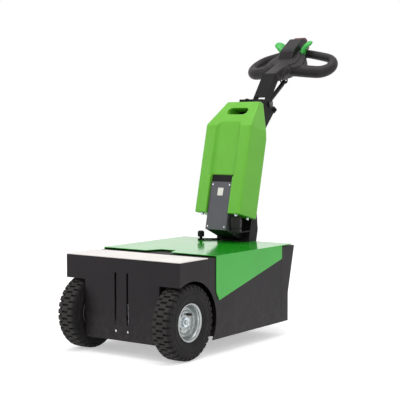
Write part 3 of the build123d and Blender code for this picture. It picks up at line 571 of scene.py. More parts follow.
def joined(meshes: Iterable[bpy.types.Mesh]) -> bpy.types.Mesh:
    """One mesh of several."""
    build = bmesh.new()
    for mesh in meshes:
        build.from_mesh(mesh)
    whole = bpy.data.meshes.new("joined")
    build.to_mesh(whole)
    build.free()
    return whole


def revolved(profile: Sequence[Point], steps: int, closed: bool = True,
             side: float = 1.0) -> bpy.types.Mesh:
    """Ring or disc turned about the Y axis.

    Args:
        profile: points as (radius, distance along the axis).
        steps: number of steps round the axis.
        closed: whether the profile's last point joins its first.
        side: 1 or -1 turns the profile's direction along the axis.

    Returns:
        The turned mesh.
    """
    build = bmesh.new()
    rings = []
    for index in range(steps):
        angle = 2 * math.pi * index / steps
        rings.append([build.verts.new((radius * math.sin(angle), side * along, radius * math.cos(angle)))
                      for radius, along in profile])
    last = len(profile) if closed else len(profile) - 1
    for index in range(steps):
        here, there = rings[index], rings[(index + 1) % steps]
        for spot in range(last):
            after = (spot + 1) % len(profile)
            build.faces.new((here[spot], here[after], there[after], there[spot]))
    bmesh.ops.remove_doubles(build, verts=build.verts, dist=1e-6)
    bmesh.ops.dissolve_degenerate(build, edges=build.edges, dist=1e-7)
    return solid_mesh(build, "turned")


def prism(outline: Sequence[Point], low: float, high: float) -> bpy.types.Mesh:
    """Closed prism of an outline in X and Y, between two heights in Z."""
    build = bmesh.new()
    bottom = [build.verts.new((x, y, low)) for x, y in outline]
    top = [build.verts.new((x, y, high)) for x, y in outline]
    build.faces.new(list(reversed(bottom)))
    build.faces.new(top)
    for index in range(len(outline)):
        after = (index + 1) % len(outline)
        build.faces.new((bottom[index], bottom[after], top[after], top[index]))
    return solid_mesh(build, "prism")


def cross_prism(outline: Sequence[Point], half: float, middle: float = 0.0) -> bpy.types.Mesh:
    """Closed prism of an outline in Y and Z, as wide as twice half along X about its middle."""
    mesh = prism(outline, middle - half, middle + half)
    mesh.transform(Matrix(((0, 0, 1, 0), (1, 0, 0, 0), (0, 1, 0, 0), (0, 0, 0, 1))))
    return mesh


def arc(centre: Point, radius: float, start: float, end: float, steps: int) -> list[Point]:
    """Points on an arc, angles in degrees."""
    turns = [math.radians(start + (end - start) * index / steps) for index in range(steps + 1)]
    return [(centre[0] + radius * math.cos(turn), centre[1] + radius * math.sin(turn)) for turn in turns]


@dataclass(frozen=True)
class Axes:
    """A local frame of the machine: an origin and three directions."""

    origin: Vector
    x: Vector
    y: Vector
    z: Vector

    def matrix(self) -> Matrix:
        """Matrix from the local frame to the machine's."""
        turn = Matrix((self.x, self.y, self.z)).transposed().to_4x4()
        return Matrix.Translation(self.origin) @ turn

    def at(self, x: float, y: float, z: float) -> Vector:
        """Machine place of a local point."""
        return self.origin + self.x * x + self.y * y + self.z * z


LEAN = math.radians(13.4)
MAST = Axes(Vector((FACE - 0.5647, 0.0, 0.4575)), Vector((0, 1, 0)),
            Vector((-math.sin(LEAN), 0, math.cos(LEAN))), Vector((math.cos(LEAN), 0, math.sin(LEAN))))
TILT = math.radians(35.0)
RING = Axes(Vector((FACE - 1.1095, 0.0, 1.0455)), Vector((0, 1, 0)),
            Vector((-math.cos(TILT), 0, math.sin(TILT))), Vector((math.sin(TILT), 0, math.cos(TILT))))


class Tree:
    """Geometry node group with named inputs."""

    def __init__(self, name: str) -> None:
        """Start a group with a geometry input and output."""
        self.group = bpy.data.node_groups.new(name, "GeometryNodeTree")
        self.identifiers: dict[str, str] = {}
        self.named("Geometry", "NodeSocketGeometry", None)
        self.group.interface.new_socket("Geometry", in_out="OUTPUT", socket_type="NodeSocketGeometry")
        self.entry = self.group.nodes.new("NodeGroupInput")

    def named(self, name: str, kind: str, value: object) -> str:
        """Add a named input with its plain value and return the name."""
        socket = self.group.interface.new_socket(name, in_out="INPUT", socket_type=kind)
        if value is not None:
            socket.default_value = value
        self.identifiers[name] = socket.identifier
        return name

    def node(self, kind: str, settings: Mapping[str, object], inputs: Mapping) -> bpy.types.Node:
        """Make a node; an input given as text is the group's input of that name."""
        made = self.group.nodes.new(kind)
        for key, value in settings.items():
            setattr(made, key, value)
        for key, value in inputs.items():
            if isinstance(value, str) and value in self.identifiers:
                self.group.links.new(self.entry.outputs[value], made.inputs[key])
            elif isinstance(value, bpy.types.NodeSocket):
                self.group.links.new(value, made.inputs[key])
            else:
                made.inputs[key].default_value = value
        return made

    def end(self, geometry: bpy.types.NodeSocket) -> None:
        """Realise the instances, set the material and close the group."""
        real = self.node("GeometryNodeRealizeInstances", {}, {"Geometry": geometry})
        dressed = self.node("GeometryNodeSetMaterial", {},
                            {"Geometry": real.outputs[0], "Material": "Material"})
        output = self.group.nodes.new("NodeGroupOutput")
        self.group.links.new(dressed.outputs[0], output.inputs[0])

    def run(self, mesh: bpy.types.Mesh, values: Mapping[str, object]) -> bpy.types.Mesh:
        """Plain mesh that the group makes of a mesh with these values."""
        def step(holder: bpy.types.Object) -> None:
            made = holder.modifiers.new("rule", "NODES")
            made.node_group = self.group
            for name, value in values.items():
                made[self.identifiers[name]] = value
        return evaluated(mesh, step)


class RoundArray(Tree):
    """Copies of a shape turned about an axis through the origin."""

    def __init__(self) -> None:
        """Build the group: points in one place, each with its own turn."""
        super().__init__("round_array")
        self.named("Count", "NodeSocketInt", 12)
        self.named("Phase", "NodeSocketFloat", 0.0)
        self.named("Axis", "NodeSocketVector", (0.0, 1.0, 0.0))
        self.named("Material", "NodeSocketMaterial", None)
        points = self.node("GeometryNodeMeshLine", {}, {"Count": "Count", "Offset": (0.0, 0.0, 0.0)})
        index = self.node("GeometryNodeInputIndex", {}, {})
        share = self.node("ShaderNodeMath", {"operation": "DIVIDE"}, {0: index.outputs[0], 1: "Count"})
        turn = self.node("ShaderNodeMath", {"operation": "MULTIPLY_ADD"},
                         {0: share.outputs[0], 1: 2 * math.pi, 2: "Phase"})
        rotation = self.node("ShaderNodeVectorMath", {"operation": "SCALE"},
                             {0: "Axis", "Scale": turn.outputs[0]})
        copies = self.node("GeometryNodeInstanceOnPoints", {},
                           {"Points": points.outputs[0], "Instance": "Geometry",
                            "Rotation": rotation.outputs[0]})
        self.end(copies.outputs[0])


class StudField(Tree):
    """Fastener heads on the vertices of a mesh, each facing along the vertex's own direction."""

    def __init__(self) -> None:
        """Build the group: a washer, a head and its chamfered top on each point."""
        super().__init__("stud_field")
        self.named("Sides", "NodeSocketInt", 6)
        self.named("Head radius", "NodeSocketFloat", 0.006)
        self.named("Head height", "NodeSocketFloat", 0.004)
        self.named("Washer radius", "NodeSocketFloat", 0.008)
        self.named("Washer height", "NodeSocketFloat", 0.001)
        self.named("Material", "NodeSocketMaterial", None)
        washer = self.node("GeometryNodeMeshCone", {}, {
            "Vertices": 24, "Radius Top": "Washer radius", "Radius Bottom": "Washer radius",
            "Depth": "Washer height"})
        head = self.node("GeometryNodeMeshCone", {}, {
            "Vertices": "Sides", "Radius Top": "Head radius", "Radius Bottom": "Head radius",
            "Depth": "Head height"})
        narrow = self.node("ShaderNodeMath", {"operation": "MULTIPLY"}, {0: "Head radius", 1: 0.78})
        thin = self.node("ShaderNodeMath", {"operation": "MULTIPLY"}, {0: "Head height", 1: 0.22})
        crown = self.node("GeometryNodeMeshCone", {}, {
            "Vertices": "Sides", "Radius Top": narrow.outputs[0], "Radius Bottom": "Head radius",
            "Depth": thin.outputs[0]})
        on_washer = self.node("ShaderNodeCombineXYZ", {}, {"Z": "Washer height"})
        top = self.node("ShaderNodeMath", {"operation": "ADD"}, {0: "Washer height", 1: "Head height"})
        on_head = self.node("ShaderNodeCombineXYZ", {}, {"Z": top.outputs[0]})
        raised = self.node("GeometryNodeTransform", {}, {
            "Geometry": head.outputs[0], "Translation": on_washer.outputs[0]})
        capped = self.node("GeometryNodeTransform", {}, {
            "Geometry": crown.outputs[0], "Translation": on_head.outputs[0]})
        stud = self.node("GeometryNodeJoinGeometry", {}, {})
        for part in (capped, raised, washer):
            self.group.links.new(part.outputs[0], stud.inputs[0])
        facing = self.node("GeometryNodeInputNamedAttribute", {"data_type": "FLOAT_VECTOR"},
                           {"Name": "facing"})
        turned = self.node("FunctionNodeAlignRotationToVector", {"axis": "Z"}, {"Vector": facing.outputs[0]})
        copies = self.node("GeometryNodeInstanceOnPoints", {},
                           {"Points": "Geometry", "Instance": stud.outputs[0], "Rotation": turned.outputs[0]})
        self.end(copies.outputs[0])


def dotted(spots: Sequence[tuple[Vector, Vector]]) -> bpy.types.Mesh:
    """Mesh of loose vertices with the direction that each faces."""
    mesh = bpy.data.meshes.new("spots")
    mesh.from_pydata([spot for spot, _ in spots], [], [])
    facing = mesh.attributes.new("facing", "FLOAT_VECTOR", "POINT")
    for index, (_, way) in enumerate(spots):
        facing.data[index].vector = way
    return mesh


@dataclass
class Sheetwork:
    """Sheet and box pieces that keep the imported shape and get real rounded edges."""

    kit: Kit
    rounded: tuple[tuple[str, str, float], ...] = (
        ("front_plate", "black", 0.0009), ("ear_side_left", "black", 0.0009),
        ("ear_side_right", "black", 0.0009),
        ("side_sheet_left", "black", 0.0009), ("side_sheet_right", "black", 0.0009),
        # The front top plate's near-white finish is partly painted reflection.
        ("rear_shell", "black", 0.0010), ("front_top_plate", "light", 0.0008), ("hood", "hood", 0.0007),
        ("coupling_bar", "zinc", 0.0012), ("deck_plate", "inner", 0.0006), ("column", "inner", 0.0025),
        ("column_foot", "inner", 0.0009), ("column_cap", "inner", 0.0012), ("pivot_bracket", "inner", 0.0010),
        ("controller_box", "inner", 0.0015), ("controller_cover", "cover", 0.0006),
        ("ballast_block", "iron", 0.0020), ("castor_beam", "inner", 0.0012), ("castor_plate", "zinc", 0.0008),
        ("castor_fork", "zinc", 0.0008), ("tiller_arm", "inner", 0.0012), ("transaxle", "cast", 0.0020),
        ("drive_motor", "inner", 0.0012),
    )
    plain: tuple[tuple[str, str], ...] = (
        ("wheel_well_left", "inner"), ("wheel_well_right", "inner"), ("axle_left", "zinc"),
        ("axle_right", "zinc"),
        ("castor_tyre", "castor_tread"), ("castor_core", "castor_hub"), ("spring_cylinder", "plastic"),
        ("spring_rod", "rod"),
    )

    def build(self) -> None:
        """Round the edges of the sheet pieces and dress the nodes that stay."""
        for node, finish, width in self.rounded:
            self.round_edges(node, finish, width)
        for node, finish in self.plain:
            self.kit.dress(node, finish)

    def round_edges(self, node: str, finish: str, width: float) -> None:
        """Stand a copy of a node with rounded edges in its place."""
        source = self.kit.nodes[node]
        build = bmesh.new()
        build.from_mesh(source.data)
        bmesh.ops.remove_doubles(build, verts=build.verts, dist=1e-5)
        bmesh.ops.dissolve_limit(build, angle_limit=math.radians(0.4), verts=build.verts, edges=build.edges)
        mesh = solid_mesh(build)
        mesh.materials.clear()
        mesh.materials.append(self.kit.finishes[finish])
        shaped = evaluated(mesh, bevelled(width))
        self.kit.add(node + "_piece", shaped, finish, source["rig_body"], (node,), 0.0)


@dataclass
class DriveWheel:
    """Drive wheel: tyre with three staggered rows of lugs, dished zinc rim and centre bolt."""

    kit: Kit
    array: RoundArray
    side_name: str
    radius: float = 0.1298
    middle: float = 0.207
    half_width: float = 0.038
    groove: float = 0.0062
    pitches: int = 34
    lug_share: float = 0.70
    lip_radius: float = 0.066
    barrel_radius: float = 0.057
    rim_half: float = 0.032
    centre: Vector = field(default_factory=lambda: Vector((AXLE_X, 0.0, AXLE_Z)))

    @property
    def side(self) -> int:
        """1 on the machine's left and -1 on its right."""
        return SIDES[self.side_name]

    def build(self) -> None:
        """Make the tyre and the rim."""
        body = "wheel_" + self.side_name
        place = Matrix.Translation(self.centre + Vector((0, self.side * self.middle, 0)))
        tyre = joined([self.carcass(), *self.tread()])
        tyre.transform(place)
        tyre.materials.clear()
        tyre.materials.append(self.kit.finishes["tyre"])
        self.kit.add("drive_tyre_" + self.side_name, tyre, "tyre", body, ("tyre_" + self.side_name,), 38.0)
        rim = self.rim()
        rim.transform(place)
        self.kit.add("drive_rim_" + self.side_name, rim, "rim", body, ("rim_" + self.side_name,), 34.0)
        valve = self.valve()
        valve.transform(place)
        self.kit.add("valve_stem_" + self.side_name, valve, "plastic", body, (), 34.0)

    def carcass(self) -> bpy.types.Mesh:
        """Tyre body up to the bottom of the grooves, with a stepped sidewall and bead."""
        base = self.radius - self.groove
        bead = self.barrel_radius + 0.0004
        seat = self.rim_half - 0.0034
        outer = [(bead, -seat), (self.lip_radius + 0.001, -seat)]
        outer += [(0.0700, -0.0318), (0.0716, -0.0332), (0.0722, -0.0330)]
        outer += [(0.0800, -0.0365), (0.0900, -0.0378), (0.0985, -0.0380)]
        outer += [(0.0990, -0.0374), (0.1002, -0.0374), (0.1007, -0.0380)]
        outer += [(0.1080, -0.0374), (0.1150, -0.0355), (0.1190, -0.0330), (base - 0.0012, -0.0300)]
        crown = [(base, -0.020), (base + 0.0004, 0.0)]
        mirrored = [(radius, -along) for radius, along in reversed(outer)]
        inner = [(bead, seat - 0.008), (0.0950, 0.0300), (0.1180, 0.0220)]
        inner += [(0.1180, -0.0220), (0.0950, -0.0300), (bead, 0.008 - seat)]
        profile = outer + crown + [(base, 0.020)] + mirrored + inner
        return revolved(profile, 144, side=self.side)

    def tread(self) -> list[bpy.types.Mesh]:
        """Three rows of lugs: the middle row stands half a pitch off the shoulder rows."""
        pitch = 2 * math.pi / self.pitches
        rows = []
        for row, phase in ((-1, 0.0), (0, 0.5), (1, 0.0)):
            lug = evaluated(self.lug(row), bevelled(0.0011, 2, 30.0))
            rows.append(self.array.run(lug, {"Count": self.pitches, "Phase": phase * pitch,
                                             "Material": self.kit.finishes["tyre"]}))
        return rows

    def lug(self, row: int) -> bpy.types.Mesh:
        """One lug at the top of the wheel.

        Args:
            row: -1 or 1 for a shoulder row, 0 for the middle.

        Returns:
            A closed block whose foot is sunk in the carcass.
        """
        half_turn = math.pi / self.pitches * self.lug_share
        foot = self.radius - self.groove - 0.003
        if row == 0:
            section = [(-0.0135, foot), (-0.0130, self.radius), (0.0130, self.radius), (0.0135, foot)]
        else:
            section = [(0.0125, foot), (0.0130, self.radius), (0.0270, self.radius - 0.0008),
                       (0.0338, self.radius - 0.0046), (0.0366, self.radius - 0.0110),
                       (0.0372, self.radius - 0.0185), (0.0345, self.radius - 0.0190), (0.0290, foot - 0.004)]
            section = [(row * across, height) for across, height in section]
        build = bmesh.new()
        rings = []
        steps = 3
        for index in range(steps + 1):
            turn = half_turn * (2 * index / steps - 1)
            rings.append([build.verts.new((height * math.sin(turn), across, height * math.cos(turn)))
                          for across, height in section])
        for here, there in zip(rings, rings[1:]):
            for spot in range(len(section)):
                after = (spot + 1) % len(section)
                build.faces.new((here[spot], here[after], there[after], there[spot]))
        build.faces.new(rings[0])
        build.faces.new(list(reversed(rings[-1])))
        return solid_mesh(build, "lug")

    def rim(self) -> bpy.types.Mesh:
        """Dished rim, open outwards, with a pressed hub, centre bolt and four nuts."""
        lip, barrel, half = self.lip_radius, self.barrel_radius, self.rim_half
        outward = [(lip - 0.0004, half - 0.0032), (lip, half - 0.0016), (lip - 0.0010, half - 0.0001),
                   (lip - 0.0034, half), (lip - 0.0060, half - 0.0016), (barrel - 0.0016, half - 0.0065),
                   (barrel - 0.0034, half - 0.0150), (barrel - 0.0040, 0.0140), (barrel - 0.0075, 0.0075),
                   (0.0430, 0.0062), (0.0400, 0.0070), (0.0375, 0.0105), (0.0350, 0.0112),
                   (0.0240, 0.0108), (0.0225, 0.0090), (0.0140, 0.0088)]
        inward = [(0.0140, 0.0040), (barrel - 0.0080, 0.0036), (barrel - 0.0050, 0.0),
                  (barrel - 0.0034, -0.010),
                  (barrel - 0.0034, -half + 0.006), (lip - 0.0040, -half + 0.0006), (lip - 0.0012, -half),
                  (lip, -half + 0.0016), (lip - 0.0006, -half + 0.0030), (barrel, -half + 0.0045),
                  (barrel, half - 0.0045)]
        dish = revolved(outward + inward, 128, side=self.side)
        collar = revolved([(0.0, 0.0060), (0.0158, 0.0060), (0.0158, 0.0128), (0.0146, 0.0140),
                           (0.0, 0.0140)], 48, side=self.side)
        bolt = revolved([(0.0, 0.0136), (0.0092, 0.0136), (0.0092, 0.0190), (0.0082, 0.0202),
                         (0.0, 0.0202)], 6, side=self.side)
        nut = revolved([(0.0, 0.0), (0.0052, 0.0), (0.0052, 0.0034), (0.0042, 0.0042), (0.0, 0.0042)], 6,
                       side=self.side)
        nut.transform(Matrix.Translation((0.0, self.side * 0.0108, 0.0300)))
        nuts = self.array.run(nut, {"Count": 4, "Phase": math.radians(38.0),
                                    "Material": self.kit.finishes["rim"]})
        whole = joined([dish, collar, bolt, nuts])
        whole.materials.clear()
        return whole

    def valve(self) -> bpy.types.Mesh:
        """Rubber valve stem with its cap, standing out of the disc."""
        profile = [(0.0, 0.0040), (0.0058, 0.0040), (0.0058, 0.0102), (0.0046, 0.0116), (0.0040, 0.0190),
                   (0.0046, 0.0200), (0.0046, 0.0272), (0.0034, 0.0284), (0.0, 0.0284)]
        stem = revolved(profile, 28, side=self.side)
        stem.transform(Matrix.Translation((-0.013, 0.0, 0.0255)))
        return stem


@dataclass
class Battery:
    """Moulded battery shell that straddles the controller: tapered rear edges, sunk front and grip hole."""

    kit: Kit
    width: float = 0.2074
    depth: float = 0.1277
    shoulder: float = 0.340
    top: float = 0.4547
    top_width: float = 0.1476
    crest: float = 0.083
    edge: float = 0.006
    rear_taper: Point = (0.290, 0.046)
    bay_width: float = 0.1006
    bay_height: float = 0.1483
    groove_depth: float = 0.0135
    groove_slope: float = 0.012
    grip: tuple[float, float, float] = (0.092, 0.030, 0.408)
    voxel: float = 0.0021

    def build(self) -> None:
        """Cut the shell from its block and melt its edges; the fasteners under its legs come with the other
        fasteners.
        """
        half, top_half = self.width / 2, self.top_width / 2
        bay = self.bay_width / 2
        block = prism([(-half, 0), (-half, self.shoulder), (-top_half, self.top), (top_half, self.top),
                       (half, self.shoulder), (half, 0), (bay, 0), (bay, self.bay_height),
                       (-bay, self.bay_height), (-bay, 0)], -self.depth, 0.0)
        cutters = [self.crest_cutter(), self.groove_cutter(), self.grip_cutter()]
        for side in SIDES.values():
            cutters.append(self.edge_cutter(side, False, self.edge, self.edge))
            cutters.append(self.edge_cutter(side, True, self.edge, self.edge))
            cutters.append(self.edge_cutter(side, True, *self.taper_ends()))
        shell = evaluated(block, *[self.minus(cutter) for cutter in cutters], fused(self.voxel, 9, 0.55))
        shell.transform(MAST.matrix())
        shell.materials.clear()
        self.kit.add("battery_shell", shell, "battery", Body.CHASSIS.value, ("battery_pack",), 70.0)

    @staticmethod
    def minus(cutter: bpy.types.Mesh) -> Callable[[bpy.types.Object], None]:
        """Step that cuts a shape away."""
        def step(holder: bpy.types.Object) -> None:
            tool = bpy.data.objects.new("cutter", cutter)
            bpy.context.scene.collection.objects.link(tool)
            cut = holder.modifiers.new("cut", "BOOLEAN")
            cut.operation = "DIFFERENCE"
            cut.solver = "MANIFOLD"
            cut.object = tool
            tool.hide_render = True
        return step

    def crest_cutter(self) -> bpy.types.Mesh:
        """Wedge that slopes the front above the shoulder."""
        reach = self.top - self.shoulder
        extra = 0.1
        steep = self.crest / reach
        low, high = self.shoulder - extra, self.top + extra
        return cross_prism([(low, steep * extra), (high, -self.crest - steep * extra), (high, 0.2),
                            (low, 0.2)], 0.2)

    def groove_cutter(self) -> bpy.types.Mesh:
        """Sunk front with sloping walls, from the bay to the crest."""
        floor_half = self.bay_width / 2 - 0.004
        mouth_half = floor_half + self.groove_slope
        build = bmesh.new()
        foot, head = self.bay_height, self.shoulder + 0.06
        # Each level: height, place off the front, half width
        levels = ((foot - 0.004, -self.groove_depth, floor_half), (foot - 0.012, 0.02, mouth_half + 0.012),
                  (head, 0.02, mouth_half + 0.012), (head, -self.groove_depth, floor_half))
        low = [build.verts.new((-half, up, out)) for up, out, half in levels]
        high = [build.verts.new((half, up, out)) for up, out, half in levels]
        build.faces.new(low)
        build.faces.new(list(reversed(high)))
        for index in range(4):
            after = (index + 1) % 4
            build.faces.new((low[index], high[index], high[after], low[after]))
        return solid_mesh(build, "groove")

    def grip_cutter(self) -> bpy.types.Mesh:
        """Slot for the hand, with round ends."""
        length, height, up = self.grip
        reach = (length - height) / 2
        outline = arc((reach, up), height / 2, -90, 90, 12) + arc((-reach, up), height / 2, 90, 270, 12)
        return prism(outline, -0.3, 0.2)

    def taper_ends(self) -> Point:
        """Width that the rear taper would take off at the wedge's foot and top."""
        start, width = self.rear_taper
        slope = width / (self.top - start)
        return slope * (-0.1 - start), slope * (0.6 - start)

    def edge_cutter(self, side: int, rear: bool, foot: float, head: float) -> bpy.types.Mesh:
        """Wedge that takes off an upright outer edge.

        Args:
            side: 1 or -1, left or right.
            rear: whether it is the edge behind or the one in front.
            foot: width taken off at the wedge's foot, below the shell.
            head: width taken off at its top, above the shell.

        Returns:
            The wedge.
        """
        half = self.width / 2
        out = -1.0 if rear else 1.0
        face = -self.depth if rear else 0.0
        extra = 0.15
        build = bmesh.new()
        ends = []
        for up, width in ((-0.1, foot), (0.6, head)):
            corners = [(side * (half + extra), face - out * (width + extra)),
                       (side * (half - width - extra), face + out * extra),
                       (side * (half + extra), face + out * extra)]
            ends.append([build.verts.new((x, up, z)) for x, z in corners])
        low, high = ends
        build.faces.new(low)
        build.faces.new(list(reversed(high)))
        for index in range(3):
            after = (index + 1) % 3
            build.faces.new((low[index], high[index], high[after], low[after]))
        return solid_mesh(build, "wedge")


@dataclass
class Handle:
    """Closed oval handle with drooping ends, its hub and pod, the thumb wings and the belly switch.

    Local places are in the ring's frame: X to the left, Y up towards the operator and Z off the ring's plane.
    """

    kit: Kit
    half_width: float = 0.186
    half_length: float = 0.064
    end_radius: float = 0.055
    rise: float = 0.015
    droop: float = math.radians(11.0)
    front_tube: float = 0.0262
    rear_tube: float = 0.0180
    hub_low: float = -0.0160
    hub_high: float = 0.0310
    pod_half: float = 0.0325
    pod_rear: float = 0.1138
    pod_top: float = 0.0625
    belly_length: float = 0.0158
    lug: Point = (-0.0927, -0.0321)
    lug_radius: float = 0.0108
    lug_rise: float = 0.034

    def build(self) -> None:
        """Make every piece of the handle."""
        self.grip()
        self.pod()
        self.belly()
        for side_name, side in SIDES.items():
            self.wing(side_name, side)

    def ring_line(self, steps: int = 24) -> list[Point]:
        """Points of the four-arc oval in the ring's own plane."""
        reach = self.half_width - self.end_radius
        spare = self.half_length - self.end_radius
        shift = (reach ** 2 - spare ** 2) / (2 * spare)
        flat = self.half_length + shift
        turn = math.degrees(math.atan2(shift, reach))
        line = arc((reach, 0), self.end_radius, -turn, turn, steps)[:-1]
        line += arc((0, -shift), flat, turn, 180 - turn, steps)[:-1]
        line += arc((-reach, 0), self.end_radius, 180 - turn, 180 + turn, steps)[:-1]
        line += arc((0, shift), flat, 180 + turn, 360 - turn, steps)[:-1]
        return line

    def ring(self) -> bpy.types.Mesh:
        """Tube along the oval: thick in front, where it meets the hub, and slim behind."""
        line = self.ring_line()
        build = bmesh.new()
        rings = []
        count = len(line)
        sides = 20
        for index, (x, y) in enumerate(line):
            before, after = line[index - 1], line[(index + 1) % count]
            along = Vector((after[0] - before[0], after[1] - before[1], 0)).normalized()
            outward = Vector((along.y, -along.x, 0))
            front = 0.5 - 0.5 * y / self.half_length
            radius = self.rear_tube + (self.front_tube - self.rear_tube) * front
            spots = []
            for step in range(sides):
                turn = 2 * math.pi * step / sides
                spot = Vector((x, y, 0)) + outward * (radius * math.cos(turn))
                spot.z = self.rise + radius * math.sin(turn) - abs(x) * math.sin(self.droop)
                spots.append(build.verts.new(spot))
            rings.append(spots)
        for index in range(count):
            here, there = rings[index], rings[(index + 1) % count]
            for step in range(sides):
                after = (step + 1) % sides
                build.faces.new((here[step], here[after], there[after], there[step]))
        return solid_mesh(build, "ring")

    def grip(self) -> None:
        """Ring, hub, swellings and neck, melted into one moulding, with the spring's lug under it."""
        # Right halves of the hub's outline and of the raised crown on it
        outline = [(0.062, -0.080), (0.086, -0.066), (0.088, -0.040), (0.080, -0.008), (0.062, 0.026),
                   (0.044, 0.046), (0.036, 0.090)]
        crown = [(0.040, -0.074), (0.062, -0.058), (0.064, -0.030), (0.056, 0.000), (0.040, 0.040)]
        hub = [prism([(-x, y) for x, y in half] + [(x, y) for x, y in reversed(half)], low, high)
               for half, low, high in ((outline, self.hub_low, self.hub_high),
                                       (crown, self.hub_low, self.hub_high + 0.011))]
        hub.append(self.dome((0.0, -0.046, 0.006), (0.066, 0.050, 0.034)))
        hub.append(self.dome((0.0, -0.086, 0.018), (0.041, 0.066, 0.028)))
        skin = evaluated(joined([self.ring(), *hub, self.neck()]), fused(0.0022, 44, 0.6))
        skin = joined([skin, *self.spring_lug()])
        skin.transform(RING.matrix())
        skin.materials.clear()
        self.kit.add("handle_moulding", skin, "plastic", Body.TILLER.value,
                     ("handle_ring", "tiller_head"), 60.0)

    @staticmethod
    def dome(centre: Colour, radii: Colour) -> bpy.types.Mesh:
        """Smooth swelling where the throat, the ring and the pod meet."""
        build = bmesh.new()
        bmesh.ops.create_uvsphere(build, u_segments=40, v_segments=24, radius=1.0)
        mesh = solid_mesh(build, "dome")
        mesh.transform(Matrix.Translation(centre) @ Matrix.Diagonal((*radii, 1.0)))
        return mesh

    def neck(self) -> bpy.types.Mesh:
        """Throat from the tiller arm up into the hub."""
        outline = [(-0.1683, 0.0580), (-0.0848, 0.0429), (-0.0199, 0.0317), (-0.0200, -0.0294),
                   (-0.0589, -0.0326), (-0.1554, 0.0124)]
        return cross_prism(outline, 0.0285)

    def spring_lug(self) -> list[bpy.types.Mesh]:
        """Two ears under the hub and the gas spring's upper pin."""
        ahead = Vector((-math.cos(TILT), math.sin(TILT)))
        up = Vector((math.sin(TILT), math.cos(TILT)))
        centre = Vector(self.lug)
        low_side = arc(self.lug, self.lug_radius, 145, -35, 14)
        tops = [centre - ahead * 0.014 + up * self.lug_rise, centre + ahead * 0.014 + up * self.lug_rise]
        outline = [(spot[0], spot[1]) for spot in low_side] + [(spot.x, spot.y) for spot in tops]
        ears = [evaluated(cross_prism(outline, 0.0024, side * 0.0096), bevelled(0.0008)) for side in (1, -1)]
        pin = cross_prism(arc(self.lug, 0.0050, 0, 345, 23), 0.0138)
        return [*ears, evaluated(pin, bevelled(0.0006))]

    def pod(self) -> None:
        """Smooth pod over the hub, with its control face."""
        outline = [(-0.066, 0.020), (-0.034, 0.0425), (-0.004, 0.0605), (0.012, self.pod_top),
                   (self.pod_rear - 0.022, self.pod_top), (self.pod_rear - 0.006, self.pod_top - 0.010),
                   (self.pod_rear, self.pod_top - 0.022), (self.pod_rear, 0.011), (-0.066, 0.011)]
        skin = evaluated(cross_prism(outline, self.pod_half), fused(0.0020, 14, 0.55))
        skin.transform(RING.matrix())
        self.kit.add("handle_pod", skin, "pod", Body.TILLER.value, (), 80.0)

    def belly(self) -> None:
        """Soft red pad on the pod's rear end."""
        start, end = self.pod_rear - 0.003, self.pod_rear + self.belly_length
        outline = [(start, -0.0055), (start, 0.0500), (end - 0.008, 0.0500), (end, 0.0360), (end, 0.0030),
                   (end - 0.006, -0.0055)]
        skin = evaluated(cross_prism(outline, 0.0268), fused(0.0016, 10, 0.5))
        skin.transform(RING.matrix())
        self.kit.add("belly_pad", skin, "red", Body.TILLER.value, ("belly_switch",), 80.0)

    def wing(self, side_name: str, side: int) -> None:
        """Thumb wing: a blade that rises beside the pod and sweeps outwards, slimmer at its tip."""
        # Each row: distance out, height off the ring, front edge, rear edge, half thickness
        rows = ((0.0415, -0.002, 0.016, 0.040, 0.0055), (0.0425, 0.010, 0.015, 0.046, 0.0075),
                (0.0440, 0.022, 0.016, 0.060, 0.0090), (0.0480, 0.033, 0.021, 0.072, 0.0098),
                (0.0540, 0.0425, 0.027, 0.077, 0.0098), (0.0620, 0.0490, 0.032, 0.078, 0.0090),
                (0.0700, 0.0530, 0.037, 0.078, 0.0080), (0.0775, 0.0550, 0.043, 0.077, 0.0070),
                (0.0840, 0.0560, 0.049, 0.074, 0.0056), (0.0872, 0.0564, 0.055, 0.070, 0.0034))
        build = bmesh.new()
        rings = []
        sides = 24
        for index, (out, height, front, rear, half) in enumerate(rows):
            before, after = rows[max(index - 1, 0)], rows[min(index + 1, len(rows) - 1)]
            along = Vector((after[0] - before[0], 0, after[1] - before[1])).normalized()
            off = Vector((-along.z, 0, along.x))
            spots = []
            for step in range(sides):
                turn = 2 * math.pi * step / sides
                across = (rear - front) / 2 * math.copysign(abs(math.cos(turn)) ** 0.45, math.cos(turn))
                thick = half * math.copysign(abs(math.sin(turn)) ** 0.7, math.sin(turn))
                spot = Vector((out, (front + rear) / 2 + across, height)) + off * thick
                spots.append(build.verts.new((side * spot.x, spot.y, spot.z)))
            rings.append(spots)
        for here, there in zip(rings, rings[1:]):
            for step in range(sides):
                after_step = (step + 1) % sides
                build.faces.new((here[step], here[after_step], there[after_step], there[step]))
        build.faces.new(rings[0])
        build.faces.new(list(reversed(rings[-1])))
        mesh = evaluated(solid_mesh(build, "wing"), fused(0.0013, 4, 0.5))
        mesh.transform(RING.matrix())
        self.kit.add("thumb_wing_" + side_name, mesh, "lever", Body.TILLER.value,
                     ("thumb_lever_" + side_name,), 70.0)


